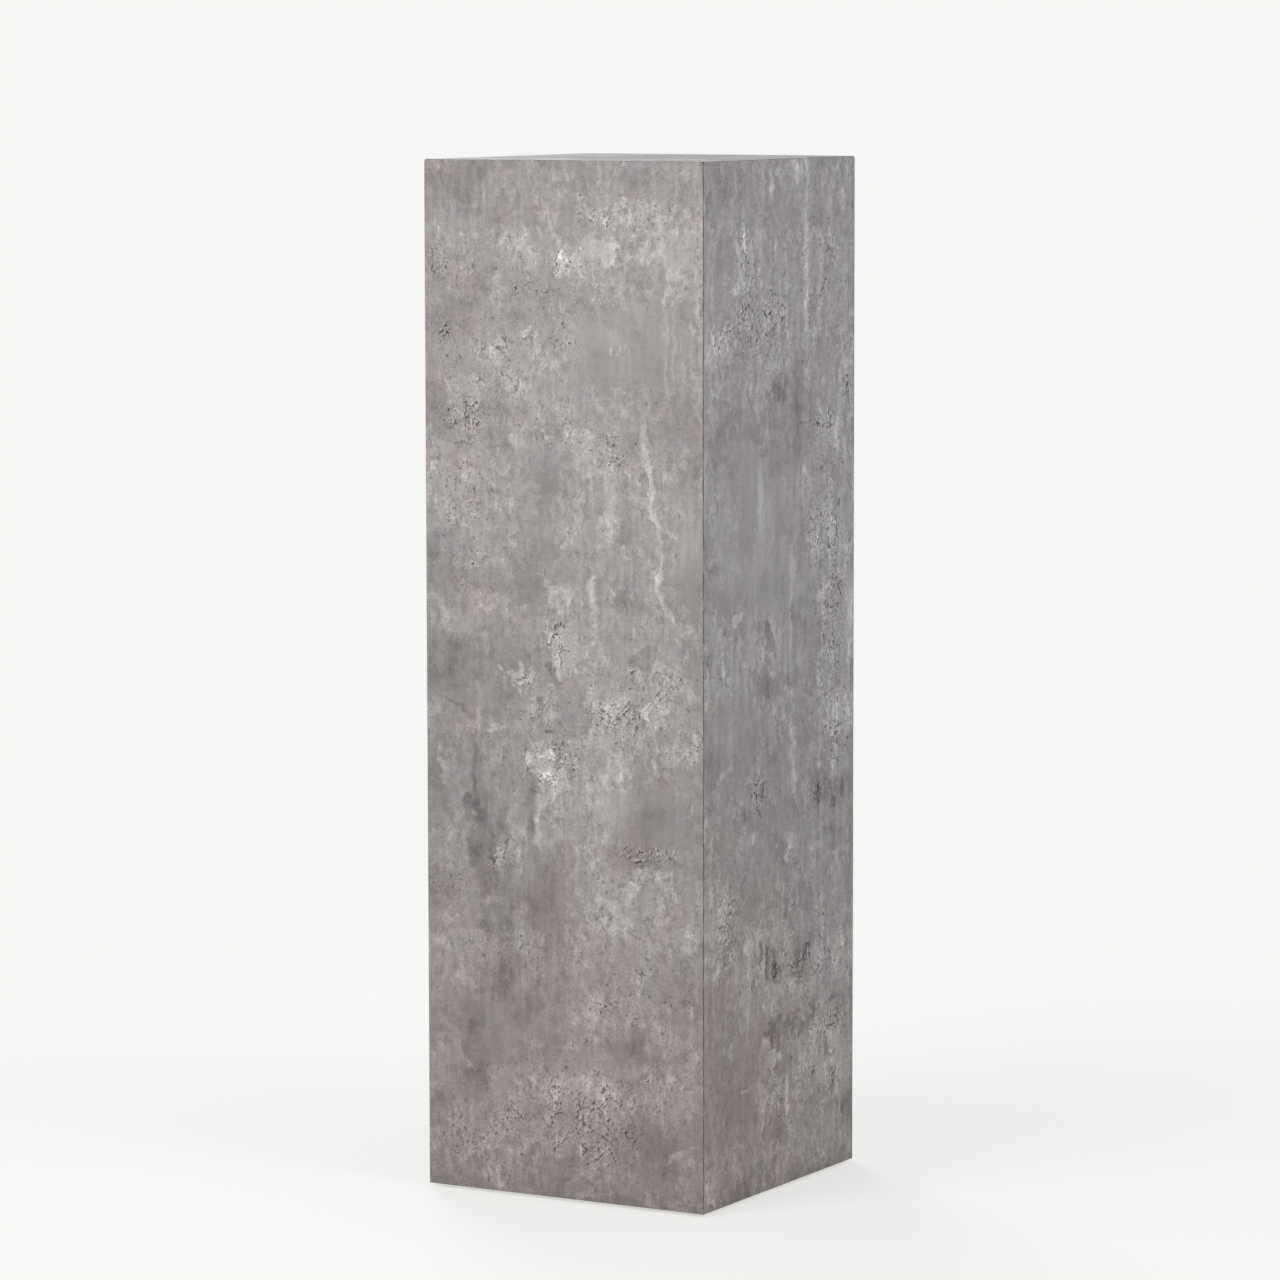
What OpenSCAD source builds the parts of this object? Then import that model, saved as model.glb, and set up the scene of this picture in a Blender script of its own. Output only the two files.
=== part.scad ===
// Square display pedestal: a hollow column of boards, faced with thin decor laminate.
// Millimetres, +Z up. The origin is the middle of the footprint on the floor, and -Y is the front.

/* [Column] */
// Overall width, across the left and right faces
column_w = 306; // [260:1:360]
// Overall depth, across the front and back faces
column_d = 306; // [260:1:360]
// Overall height, from the floor to the top face
column_h = 1000; // [700:1:1200]

/* [Boards] */
// Thickness of the boards
board_t = 16; // [15:0.5:19]
// Height of the base board's underside above the walls' lower edges
base_recess = 2; // [1:0.5:3]
// Height of the stiffener's underside above the floor
stiffener_z = 492; // [300:1:560]
// Depth to which the stiffener is housed in the walls
housing_depth = 3; // [2:0.5:3]
// Gap left round the stiffener in its grooves
housing_gap = 0.1; // [0.05:0.05:0.2]

/* [Laminate] */
// Thickness of the laminate sheets
laminate_t = 0.8; // [0.7:0.1:1.2]
// Bevel along the upright edges of the front and back sheets
upright_bevel = 0.5; // [0.2:0.1:0.6]
// Bevel along the upper and lower edges of the sheets
rim_bevel = 0.3; // [0.1:0.1:0.5]
// Radius of the upright sheets' upper corners
corner_r = 1.5; // [1:0.1:3]

/* [Cleats] */
// Side of the cleats' square section
cleat_t = 20; // [18:1:26]
// Gap at each end of a cleat
cleat_gap = 2; // [1:0.5:5]

/* [Dowels] */
// Diameter of the dowels
dowel_d = 8; // [6:0.5:8]
// Length of the dowels
dowel_l = 30; // [25:1:35]
// Length of dowel held in the front or back wall
dowel_bite = 11; // [8:0.5:12]
// Chamfer on the dowels' ends
dowel_chamfer = 1; // [0.5:0.1:1.5]
// Gap round a dowel in its hole
dowel_gap = 0.05; // [0.05:0.05:0.15]
// Empty depth past each end of a dowel
dowel_end_gap = 1; // [0.5:0.1:1.5]
// Number of dowels in each upright corner
dowel_count = 6; // [3:1:8]
// Distance from a wall's ends to its nearest dowel
dowel_inset = 70; // [50:1:100]

/* [Screws] */
// Diameter of the screws
screw_d = 4; // [3:0.5:4.5]
// Length of the screws, head included
screw_l = 30; // [27:1:32]
// Diameter of the countersunk heads
screw_head_d = 8; // [7:0.5:9]
// Height of the countersunk heads
screw_head_h = 2.5; // [2:0.1:3]
// Length of the screws' points
screw_point = 5; // [3:0.5:7]
// Width across the drive recess in a screw's head
drive_w = 4.2; // [3:0.1:5]
// Width of one slot of the drive recess
drive_slot = 0.9; // [0.6:0.1:1.2]
// Depth of the drive recess
drive_depth = 1.6; // [1:0.1:2]
// Gap round a screw in its hole
screw_gap = 0.05; // [0.05:0.05:0.15]
// Empty depth past a screw's point
screw_end_gap = 1; // [0.5:0.1:1.5]
// Distance from a cleat's ends to its screws into the wall
wall_screw_inset = 25; // [20:1:30]
// Distance from a cleat's ends to its screws to the top or base board
board_screw_inset = 60; // [50:1:70]

/* [Glides] */
// Diameter of the glides
glide_d = 22; // [18:0.5:26]
// Height of the glides
glide_h = 5; // [4:0.5:8]
// Rounding of the glides' lower rim
glide_round = 1.5; // [0.5:0.1:2]
// Distance from the base board's edges to the glides' centres
glide_inset = 18; // [15:0.5:24]
// Diameter of the pocket for the nail's head
pocket_d = 7; // [6.5:0.1:8]
// Depth of the pocket for the nail's head
pocket_depth = 1.8; // [1.4:0.1:2.4]
// Diameter of the nails
nail_d = 2; // [1.6:0.1:2.6]
// Length of the nails under the head
nail_l = 15; // [12:0.5:16]
// Diameter of the nails' heads
nail_head_d = 5.5; // [4.5:0.1:6]
// Thickness of the nails' heads
nail_head_h = 1; // [0.6:0.1:1.2]
// Length of the nails' points
nail_point = 3; // [2:0.5:4]
// Gap round a nail in its hole
nail_gap = 0.05; // [0.05:0.05:0.1]
// Empty depth past a nail's point
nail_end_gap = 0.5; // [0.3:0.1:0.8]

/* [Hidden] */
$fn = 48;
// Distance by which a cutting tool stands out of what it cuts
over = 1;
// Diameter left at the tip of a screw or a nail
tip_d = 0.6;

// Heights of the walls' lower edges, the boards' tops and the sheets
wall_z = glide_h - base_recess;
wall_h = column_h - laminate_t - wall_z;
sheet_h = column_h - wall_z;
base_top_z = glide_h + board_t;
top_z = column_h - laminate_t - board_t;
stiffener_top_z = stiffener_z + board_t;

// The carcass inside the laminate, and the space inside its walls
carcass_w = column_w - 2 * laminate_t;
carcass_d = column_d - 2 * laminate_t;
inner_w = carcass_w - 2 * board_t;
inner_d = carcass_d - 2 * board_t;

// Colours of the pieces
decor_colour = [0.61, 0.59, 0.585];
board_colour = [0.70, 0.58, 0.43];
softwood_colour = [0.83, 0.70, 0.50];
dowel_colour = [0.86, 0.74, 0.55];
steel_colour = [0.72, 0.72, 0.74];
glide_colour = [0.12, 0.12, 0.13];

WALLS = ["front", "right", "back", "left"];

// Turn that brings the front wall to the named one
function wall_turn(wall) = 90 * search([wall], WALLS)[0];

// Whether the named wall is the front or the back one, which lap the side walls
function is_lapping(wall) = wall == "front" || wall == "back";

// Length of the cleats along the named wall
function cleat_length(wall) =
    is_lapping(wall) ? inner_w - 2 * cleat_gap : inner_d - 2 * (cleat_t + cleat_gap);

// Height of one dowel of a corner, counted from the lowest
function dowel_z(i) =
    wall_z + dowel_inset + i * (wall_h - 2 * dowel_inset) / (dowel_count - 1);

// Puts its children against a wall's inner face: X along the wall, +Y into the column
module at_wall(wall) {
    reach = is_lapping(wall) ? inner_d / 2 : inner_w / 2;
    rotate([0, 0, wall_turn(wall)]) translate([0, -reach, 0]) children();
}

// Puts its children at each dowel, on the plane where the walls meet, with +Z into the lapping wall
module at_dowels() {
    for (side_x = [-1, 1], side_y = [-1, 1], i = [0 : dowel_count - 1])
        translate([side_x * (carcass_w - board_t) / 2, side_y * inner_d / 2, dowel_z(i)])
            rotate([-90 * side_y, 0, 0]) children();
}

// Puts its children at each screw through a cleat at height z into its wall, with +Z into the wall
module at_wall_screws(wall, z) {
    for (side = [-1, 1])
        at_wall(wall)
            translate([side * (cleat_length(wall) / 2 - wall_screw_inset), cleat_t, z + cleat_t / 2])
                rotate([90, 0, 0]) children();
}

// Puts its children at each upward screw on a cleat's middle line, with its head at height z
module at_board_screws(wall, z) {
    for (side = [-1, 1])
        at_wall(wall)
            translate([side * (cleat_length(wall) / 2 - board_screw_inset), cleat_t / 2, z])
                children();
}

// Puts its children under one corner of the base board; side_x and side_y are -1 or 1
module at_glide(side_x, side_y) {
    translate([side_x * (inner_w / 2 - glide_inset), side_y * (inner_d / 2 - glide_inset), 0])
        children();
}

// Puts its children under all four corners of the base board
module at_glides() {
    for (side_x = [-1, 1], side_y = [-1, 1]) at_glide(side_x, side_y) children();
}

// Box centred on the column's axis, from height z upwards
module slab(w, d, z, h) {
    translate([-w / 2, -d / 2, z]) cube([w, d, h]);
}

// Countersunk screw that points up, its head's face at height 0
module screw() {
    color(steel_colour)
    difference() {
        union() {
            cylinder(d1 = screw_head_d, d2 = screw_d, h = screw_head_h);
            cylinder(d = screw_d, h = screw_l - screw_point);
            translate([0, 0, screw_l - screw_point])
                cylinder(d1 = screw_d, d2 = tip_d, h = screw_point);
        }
        for (turn = [0, 90])
            rotate([0, 0, turn])
                translate([-drive_w / 2, -drive_slot / 2, -over])
                    cube([drive_w, drive_slot, drive_depth + over]);
    }
}

// Hole for that screw, countersunk at height 0
module screw_hole() {
    cylinder(
        d1 = screw_head_d + 2 * screw_gap, d2 = screw_d + 2 * screw_gap,
        h = screw_head_h
    );
    translate([0, 0, -over]) cylinder(d = screw_head_d + 2 * screw_gap, h = over);
    cylinder(d = screw_d + 2 * screw_gap, h = screw_l + screw_end_gap);
}

// Dowel along Z, its shorter end in the lapping wall above height 0
module dowel() {
    foot = dowel_bite - dowel_l;
    body_l = dowel_l - 2 * dowel_chamfer;
    color(dowel_colour) {
        translate([0, 0, foot])
            cylinder(d1 = dowel_d - 2 * dowel_chamfer, d2 = dowel_d, h = dowel_chamfer);
        translate([0, 0, foot + dowel_chamfer]) cylinder(d = dowel_d, h = body_l);
        translate([0, 0, dowel_bite - dowel_chamfer])
            cylinder(d1 = dowel_d, d2 = dowel_d - 2 * dowel_chamfer, h = dowel_chamfer);
    }
}

// Hole for that dowel in both boards
module dowel_hole() {
    translate([0, 0, dowel_bite - dowel_l - dowel_end_gap])
        cylinder(d = dowel_d + 2 * dowel_gap, h = dowel_l + 2 * dowel_end_gap);
}

// Nail that points up, its head in a glide's pocket
module nail() {
    color(steel_colour) {
        translate([0, 0, pocket_depth - nail_head_h]) cylinder(d = nail_head_d, h = nail_head_h);
        translate([0, 0, pocket_depth]) cylinder(d = nail_d, h = nail_l - nail_point);
        translate([0, 0, pocket_depth + nail_l - nail_point])
            cylinder(d1 = nail_d, d2 = tip_d, h = nail_point);
    }
}

// Hole for that nail's shank
module nail_hole() {
    cylinder(d = nail_d + 2 * nail_gap, h = pocket_depth + nail_l + nail_end_gap);
}

// Holes that the cleats' screws leave in the walls
module wall_screw_holes() {
    for (wall = WALLS, z = [base_top_z, top_z - cleat_t]) at_wall_screws(wall, z) screw_hole();
}

// Stiffener's outline: its four tongues, grown all round by gap
module stiffener_outline(gap) {
    long = 2 * (housing_depth + gap);
    square([inner_w + long, inner_d - 2 * housing_gap + 2 * gap], center = true);
    square([inner_w - 2 * housing_gap + 2 * gap, inner_d + long], center = true);
}

// Grooves that house the stiffener in the walls
module stiffener_grooves() {
    translate([0, 0, stiffener_z - housing_gap])
        linear_extrude(board_t + 2 * housing_gap) stiffener_outline(housing_gap);
}

// Everything that is cut from the walls
module wall_cuts() {
    stiffener_grooves();
    wall_screw_holes();
    at_dowels() dowel_hole();
}

// Front or back wall, which runs across the full width of the carcass
module lapping_wall(wall) {
    color(board_colour)
    difference() {
        at_wall(wall) translate([-carcass_w / 2, -board_t, wall_z])
            cube([carcass_w, board_t, wall_h]);
        wall_cuts();
    }
}

// Left or right wall, which stands between the other two
module lapped_wall(wall) {
    color(board_colour)
    difference() {
        at_wall(wall) translate([-inner_d / 2, -board_t, wall_z]) cube([inner_d, board_t, wall_h]);
        wall_cuts();
    }
}

module top_board() {
    color(board_colour)
    difference() {
        slab(inner_w, inner_d, top_z, board_t);
        for (wall = WALLS) at_board_screws(wall, top_z - cleat_t) screw_hole();
    }
}

module base_board() {
    color(board_colour)
    difference() {
        slab(inner_w, inner_d, glide_h, board_t);
        for (wall = WALLS) at_board_screws(wall, glide_h) screw_hole();
        at_glides() nail_hole();
    }
}

module middle_stiffener() {
    color(board_colour)
    translate([0, 0, stiffener_z]) linear_extrude(board_t) stiffener_outline(0);
}

// Cleat along a wall with its underside at height z; its upward screws start at height screw_z
module cleat(wall, z, screw_z) {
    length = cleat_length(wall);
    color(softwood_colour)
    difference() {
        at_wall(wall) translate([-length / 2, 0, z]) cube([length, cleat_t, cleat_t]);
        at_wall_screws(wall, z) screw_hole();
        at_board_screws(wall, screw_z) screw_hole();
    }
}

// Cleat under the top board, screwed up into it
module top_cleat(wall) {
    cleat(wall, top_z - cleat_t, top_z - cleat_t);
}

// Cleat on the base board, which is screwed up into it
module base_cleat(wall) {
    cleat(wall, base_top_z, glide_h);
}

// Outline of an upright sheet, w wide, on its lower edge, with rounded upper corners
module sheet_outline(w) {
    translate([-w / 2, 0]) square([w, sheet_h - corner_r]);
    translate([-w / 2 + corner_r, sheet_h - 2 * corner_r])
        square([w - 2 * corner_r, 2 * corner_r]);
    for (side = [-1, 1])
        translate([side * (w / 2 - corner_r), sheet_h - corner_r]) circle(r = corner_r);
}

// Bar along Y that cuts a 45 degree bevel from the edge it is centred on
module bevel_bar(leg, length) {
    translate([0, -over, 0]) rotate([-90, 0, 0]) cylinder(r = leg, h = length + 2 * over, $fn = 4);
}

// Upright sheet w wide, with Y up and its decor face at laminate_t on Z
module upright_sheet(w, side_bevel) {
    difference() {
        linear_extrude(laminate_t) sheet_outline(w);
        if (side_bevel > 0)
            for (side = [-1, 1])
                translate([side * w / 2, 0, laminate_t]) bevel_bar(side_bevel, sheet_h);
        for (y = [0, sheet_h])
            translate([w / 2, y, laminate_t]) rotate([0, 0, 90]) bevel_bar(rim_bevel, w);
    }
}

// Front or back sheet, which laps the edges of the side sheets
module lapping_laminate(wall) {
    color(decor_colour)
    at_wall(wall) translate([0, -board_t, wall_z]) rotate([90, 0, 0])
        upright_sheet(column_w, upright_bevel);
}

// Left or right sheet, which ends at the front and back sheets
module lapped_laminate(wall) {
    color(decor_colour)
    at_wall(wall) translate([0, -board_t, wall_z]) rotate([90, 0, 0])
        upright_sheet(carcass_d, 0);
}

module top_laminate() {
    color(decor_colour) slab(carcass_w, carcass_d, column_h - laminate_t, laminate_t);
}

module wall_dowels() {
    at_dowels() dowel();
}

module cleat_wall_screws() {
    for (wall = WALLS, z = [base_top_z, top_z - cleat_t]) at_wall_screws(wall, z) screw();
}

module top_board_screws() {
    for (wall = WALLS) at_board_screws(wall, top_z - cleat_t) screw();
}

module base_board_screws() {
    for (wall = WALLS) at_board_screws(wall, glide_h) screw();
}

// Round nail-on glide with a rounded rim and a pocket for the nail's head
module glide(side_x, side_y) {
    radius = glide_d / 2;
    color(glide_colour)
    at_glide(side_x, side_y)
    difference() {
        rotate_extrude() {
            square([radius - glide_round, glide_h]);
            translate([0, glide_round]) square([radius, glide_h - glide_round]);
            translate([radius - glide_round, glide_round]) circle(r = glide_round);
        }
        translate([0, 0, -over]) cylinder(d = pocket_d, h = pocket_depth + over);
        nail_hole();
    }
}

module glide_nails() {
    at_glides() nail();
}

lapping_laminate("front");  // front_laminate
lapping_laminate("back");  // back_laminate
lapped_laminate("left");  // left_laminate
lapped_laminate("right");  // right_laminate
top_laminate();
lapping_wall("front");  // front_board
lapping_wall("back");  // back_board
lapped_wall("left");  // left_board
lapped_wall("right");  // right_board
top_board();
base_board();
middle_stiffener();
top_cleat("front");  // top_cleat_front
top_cleat("back");  // top_cleat_back
top_cleat("left");  // top_cleat_left
top_cleat("right");  // top_cleat_right
base_cleat("front");  // base_cleat_front
base_cleat("back");  // base_cleat_back
base_cleat("left");  // base_cleat_left
base_cleat("right");  // base_cleat_right
wall_dowels();
cleat_wall_screws();
top_board_screws();
base_board_screws();
glide(-1, -1);  // glide_front_left
glide(1, -1);  // glide_front_right
glide(-1, 1);  // glide_back_left
glide(1, 1);  // glide_back_right
glide_nails();
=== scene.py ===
"""Dressed view of a tall square pedestal faced with concrete-look laminate.

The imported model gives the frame. The five sheets of laminate are modelled here, with eased edges and
their printed concrete, and the boards, cleats, dowels, screws and glides get their finishes.
"""
import logging
import math
from collections.abc import Callable
from dataclasses import dataclass, field, replace
from enum import Enum

import bpy
from mathutils import Matrix, Vector

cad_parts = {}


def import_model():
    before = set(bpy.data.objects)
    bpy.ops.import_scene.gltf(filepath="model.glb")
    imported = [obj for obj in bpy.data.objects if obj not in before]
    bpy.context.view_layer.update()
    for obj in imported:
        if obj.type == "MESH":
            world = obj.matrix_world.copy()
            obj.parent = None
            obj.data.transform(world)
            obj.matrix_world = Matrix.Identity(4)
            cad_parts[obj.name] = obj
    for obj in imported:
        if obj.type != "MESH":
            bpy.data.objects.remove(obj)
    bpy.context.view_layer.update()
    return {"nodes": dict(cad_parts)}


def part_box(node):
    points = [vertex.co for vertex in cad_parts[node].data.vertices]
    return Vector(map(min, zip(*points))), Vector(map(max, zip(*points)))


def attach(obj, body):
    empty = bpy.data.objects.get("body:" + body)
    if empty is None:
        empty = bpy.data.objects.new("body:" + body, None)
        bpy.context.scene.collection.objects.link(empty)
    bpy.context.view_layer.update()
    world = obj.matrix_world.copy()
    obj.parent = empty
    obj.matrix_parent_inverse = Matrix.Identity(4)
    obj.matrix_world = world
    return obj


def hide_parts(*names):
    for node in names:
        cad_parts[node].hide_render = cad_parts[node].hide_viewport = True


LOG = logging.getLogger("pedestal")
BAKE_MAP = "OFBake"
BODY = "root"
MM = 0.001
PER_METRE = 1000.0
FACE_WIDTH = 306.0
FACE_HEIGHT = 1000.0
LEVELS = 255.0
SCREEN_GAMMA = 2.2
NOISE_MIDDLE = 0.5
SQUARE_ON = 0.99

Socket = bpy.types.NodeSocket
Numbers = tuple[float, ...]
Feed = Socket | float | Numbers


def paint(red: float, green: float, blue: float) -> Numbers:
    """Turn a colour as seen on screen into a shader colour.

    Args:
        red: Red, 0 to 255.
        green: Green, 0 to 255.
        blue: Blue, 0 to 255.

    Returns:
        The linear colour with full cover.
    """
    toe, slope, lift, power = 0.04045, 12.92, 0.055, 2.4
    linear = []
    for level in (red, green, blue):
        share = level / LEVELS
        linear.append(share / slope if share <= toe else ((share + lift) / (1 + lift)) ** power)
    return (*linear, 1.0)


class Layers(Enum):
    """The layers that a noise adds up: how many finer ones, and how strong they are."""

    ONE = (1.0, 0.5)
    TWO = (2.0, 0.5)
    TWO_ROUGH = (2.0, 0.6)
    THREE = (3.0, 0.5)
    THREE_MILD = (3.0, 0.55)
    THREE_ROUGH = (3.0, 0.6)
    THREE_HARSH = (3.0, 0.65)
    FOUR_ROUGH = (4.0, 0.6)
    FOUR_HARSH = (4.0, 0.65)


class Graph:
    """The node tree of a material or a world, with a short call for each kind of node."""

    def __init__(self, holder: bpy.types.Material | bpy.types.World) -> None:
        """Empty the node tree.

        Args:
            holder: The material or world that has it.
        """
        self.holder = holder
        holder.use_nodes = True
        self.tree = holder.node_tree
        self.tree.nodes.clear()

    def node(self, kind: str, **settings: object) -> bpy.types.Node:
        """Add a node.

        Args:
            kind: Blender's name for the kind of node.
            **settings: Properties to set on it.

        Returns:
            The new node.
        """
        made = self.tree.nodes.new(kind)
        for name, value in settings.items():
            setattr(made, name, value)
        return made

    def feed(self, socket: Socket, value: Feed) -> None:
        """Link a socket to another, or write a fixed value on it.

        Args:
            socket: The input.
            value: An output to link, or the value to write.
        """
        if isinstance(value, bpy.types.NodeSocket):
            self.tree.links.new(value, socket)
        else:
            socket.default_value = value

    def filled(self, kind: str, *values: Feed, **settings: object) -> bpy.types.Node:
        """Add a node and feed its inputs in order.

        Args:
            kind: Blender's name for the kind of node.
            *values: What its first inputs get.
            **settings: Properties to set on it.

        Returns:
            The new node.
        """
        made = self.node(kind, **settings)
        for socket, value in zip(made.inputs, values):
            self.feed(socket, value)
        return made

    def math(self, operation: str, *values: Feed) -> Socket:
        """Give the result of a Math node that does this to these values."""
        return self.filled("ShaderNodeMath", *values, operation=operation).outputs[0]

    def vector(self, operation: str, *values: Feed) -> Socket:
        """Add a Vector Math node.

        Args:
            operation: What it does.
            *values: Its vector inputs in order, or a vector and a number for SCALE.

        Returns:
            Its vector, or its number where the operation gives one.
        """
        made = self.node("ShaderNodeVectorMath", operation=operation)
        sockets = [made.inputs[0], made.inputs["Scale"]] if operation == "SCALE" else made.inputs
        for socket, value in zip(sockets, values):
            self.feed(socket, value)
        return made.outputs["Value" if operation in ("LENGTH", "DOT_PRODUCT") else "Vector"]

    def remap(self, value: Feed, start: float, end: float, low: Feed = 0.0, high: Feed = 1.0) -> Socket:
        """Ease a value from one range into another, held at both ends.

        The easing holds the result by itself. A clamp behind it would cost each shader a place on its
        stack, which the many patches of a sheet would fill.

        Args:
            value: The value.
            start: Where the result is low.
            end: Where the result is high. It may lie below start.
            low: Result at and before start.
            high: Result at and past end.

        Returns:
            The eased result.
        """
        return self.filled("ShaderNodeMapRange", value, start, end, low, high,
                           interpolation_type="SMOOTHSTEP", clamp=False).outputs[0]

    def blend(self, share: Feed, first: Feed, second: Feed) -> Socket:
        """Mix two colours.

        Args:
            share: 0 for the first, 1 for the second.
            first: A colour.
            second: A colour.

        Returns:
            The mixed colour.
        """
        made = self.node("ShaderNodeMix", data_type="RGBA")
        self.feed(made.inputs["Factor"], share)
        self.feed(made.inputs[6], first)
        self.feed(made.inputs[7], second)
        return made.outputs[2]

    def sized(self, place: Feed, across: float, tallness: float = 1.0) -> Socket:
        """Measure a place in steps of this many millimetres across, and so many times that upwards."""
        return self.vector("MULTIPLY", place, (1 / across, 1 / (across * tallness), 1.0))

    def noise(self, steps: Feed, layers: Layers, colour: bool = False, solid: bool = False) -> Socket:
        """Add a noise of about one bump a step.

        Args:
            steps: The place in steps.
            layers: Its layers.
            colour: Give three noises as a colour instead of one as a number.
            solid: Let it vary with all three directions, not only the first two.

        Returns:
            The noise, about 0.5 on average.
        """
        made = self.node("ShaderNodeTexNoise", noise_dimensions="3D" if solid else "2D")
        detail, roughness = layers.value
        inputs = {"Vector": steps, "Scale": 1.0, "Detail": detail, "Roughness": roughness}
        for name, value in inputs.items():
            self.feed(made.inputs[name], value)
        return made.outputs[1 if colour else 0]

    def cells(self, steps: Feed, **settings: str) -> bpy.types.Node:
        """Add a pattern of cells of about one step each.

        Args:
            steps: The place in steps.
            **settings: Properties to set on the node.

        Returns:
            The node.
        """
        made = self.node("ShaderNodeTexVoronoi", voronoi_dimensions="2D", **settings)
        self.feed(made.inputs["Vector"], steps)
        self.feed(made.inputs["Scale"], 1.0)
        return made

    def varied(self, noise: Feed, depth: Feed, tone: Feed) -> Socket:
        """Add a noise of this full depth in levels to the tone so far."""
        return self.math("MULTIPLY_ADD", self.math("SUBTRACT", noise, NOISE_MIDDLE), depth, tone)

    def weakened(self, value: Feed, share: float, full: float = 1.0) -> Socket:
        """Give a full amount, less up to this share of it as the value falls from 1 to 0."""
        return self.math("MULTIPLY_ADD", value, share * full, (1 - share) * full)

    def object_place(self) -> Socket:
        """Give the place in the object's own frame, in metres."""
        return self.node("ShaderNodeTexCoord").outputs["Object"]

    def body_noise(self, size: float, layers: Layers) -> Socket:
        """Add a noise with bumps of this size in millimetres that runs through a whole body."""
        return self.noise(self.vector("SCALE", self.object_place(), PER_METRE / size), layers, solid=True)

    def mix(self, share: Feed, first: bpy.types.Node, second: bpy.types.Node) -> bpy.types.Node:
        """Mix two shaders, the first at a share of 0 and the second at 1."""
        return self.filled("ShaderNodeMixShader", share, first.outputs[0], second.outputs[0])

    def end(self, kind: str, shader: bpy.types.Node) -> bpy.types.Material | bpy.types.World:
        """Close the tree with an output node.

        Args:
            kind: Blender's name for the kind of output.
            shader: The shader that it shows.

        Returns:
            The finished material or world.
        """
        self.feed(self.node(kind).inputs["Surface"], shader.outputs[0])
        return self.holder

    def finish(self, colour: Feed, rough: Feed, height: Feed, **fixed: float) -> bpy.types.Material:
        """Close the material with a Principled shader.

        Args:
            colour: Base colour.
            rough: Roughness.
            height: Height of the surface in metres, for the bump.
            **fixed: Further inputs of the shader, with underscores for spaces.

        Returns:
            The material.
        """
        shader = self.node("ShaderNodeBsdfPrincipled")
        self.feed(shader.inputs["Base Color"], colour)
        self.feed(shader.inputs["Roughness"], rough)
        for name, value in fixed.items():
            self.feed(shader.inputs[name.replace("_", " ")], value)
        bump = self.node("ShaderNodeBump")
        self.feed(bump.inputs["Distance"], 1.0)
        self.feed(bump.inputs["Height"], height)
        self.feed(shader.inputs["Normal"], bump.outputs[0])
        return self.end("ShaderNodeOutputMaterial", shader)


def material_graph(name: str) -> Graph:
    """Start an empty material with this name."""
    return Graph(bpy.data.materials.new(name))


class Face(Enum):
    """The faces that wear decor: the way each looks, the way its print reads, and the way it stands."""

    FRONT = ((0, -1, 0), (1, 0, 0), (0, 0, 1))
    RIGHT = ((1, 0, 0), (0, 1, 0), (0, 0, 1))
    BACK = ((0, 1, 0), (-1, 0, 0), (0, 0, 1))
    LEFT = ((-1, 0, 0), (0, -1, 0), (0, 0, 1))
    TOP = ((0, 0, 1), (1, 0, 0), (0, 1, 0))

    @property
    def outward(self) -> Vector:
        """Give the direction that the face looks in."""
        return Vector(self.value[0])

    @property
    def across(self) -> Vector:
        """Give the direction that its print reads in."""
        return Vector(self.value[1])

    @property
    def up(self) -> Vector:
        """Give the direction that its print stands in."""
        return Vector(self.value[2])

    @property
    def word(self) -> str:
        """Give the face's name in small letters."""
        return self.name.lower()


class Tone(Enum):
    """How far a place lightens or darkens the decor, in levels of 255."""

    BRIGHT = 27.0
    LIGHT = 16.0
    PALE = 8.0
    DIM = -7.0
    DARK = -14.0
    DEEP = -22.0


class Rim(Enum):
    """How wide a place fades out, as a share of its radius."""

    TORN = 0.16
    EASED = 0.5
    CLOUDY = 0.95


@dataclass(frozen=True)
class Spot:
    """A place on a face, as an ellipse in millimetres from the face's lower left corner."""

    across: float
    up: float
    half_across: float
    half_up: float
    lean: float = 0.0

    def turned(self, onward: float) -> "Spot":
        """Give the place on a sheet cut the other way up, this many millimetres further along."""
        return replace(self, across=FACE_WIDTH - self.across, up=(onward - self.up) % FACE_HEIGHT)

    def reach(self, g: Graph, place: Feed) -> Socket:
        """Measure how far out a point lies, with 1 on the ellipse.

        Args:
            g: The material's nodes.
            place: The point in millimetres.

        Returns:
            Its distance from the middle, in radii.
        """
        if not self.lean:
            share = (1 / self.half_across, 1 / self.half_up, 0.0)
            start = (-self.across / self.half_across, -self.up / self.half_up, 0.0)
            return g.vector("LENGTH", g.vector("MULTIPLY_ADD", place, share, start))
        offset = g.vector("SUBTRACT", place, (self.across, self.up, 0.0))
        turn = math.radians(self.lean)
        side, rise = math.cos(turn), math.sin(turn)
        along = g.vector("DOT_PRODUCT", offset, (side / self.half_across, rise / self.half_across, 0.0))
        upward = g.vector("DOT_PRODUCT", offset, (-rise / self.half_up, side / self.half_up, 0.0))
        return g.math("SQRT", g.math("MULTIPLY_ADD", along, along, g.math("MULTIPLY", upward, upward)))


@dataclass(frozen=True)
class Patch:
    """A lighter or darker place of the decor."""

    spot: Spot
    tone: Tone
    rim: Rim

    def shade(self, g: Graph, place: Feed, total: Feed) -> Socket:
        """Add the patch to the tone so far.

        Args:
            g: The material's nodes.
            place: The point in millimetres.
            total: The tone so far, in levels.

        Returns:
            The tone with the patch.
        """
        fade = self.rim.value
        mask = g.remap(self.spot.reach(g, place), 1.0 + fade, 1.0 - fade, 0.0, self.tone.value)
        return g.math("ADD", total, mask)


def spots(*rows: Numbers) -> tuple[Spot, ...]:
    """Place spots, each row with the values of one Spot in order."""
    return tuple(Spot(*row) for row in rows)


def marks(tone: Tone, rim: Rim, *rows: Numbers) -> tuple[Patch, ...]:
    """Place patches of one tone and rim, each row with the values of one Spot in order."""
    return tuple(Patch(spot, tone, rim) for spot in spots(*rows))


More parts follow.
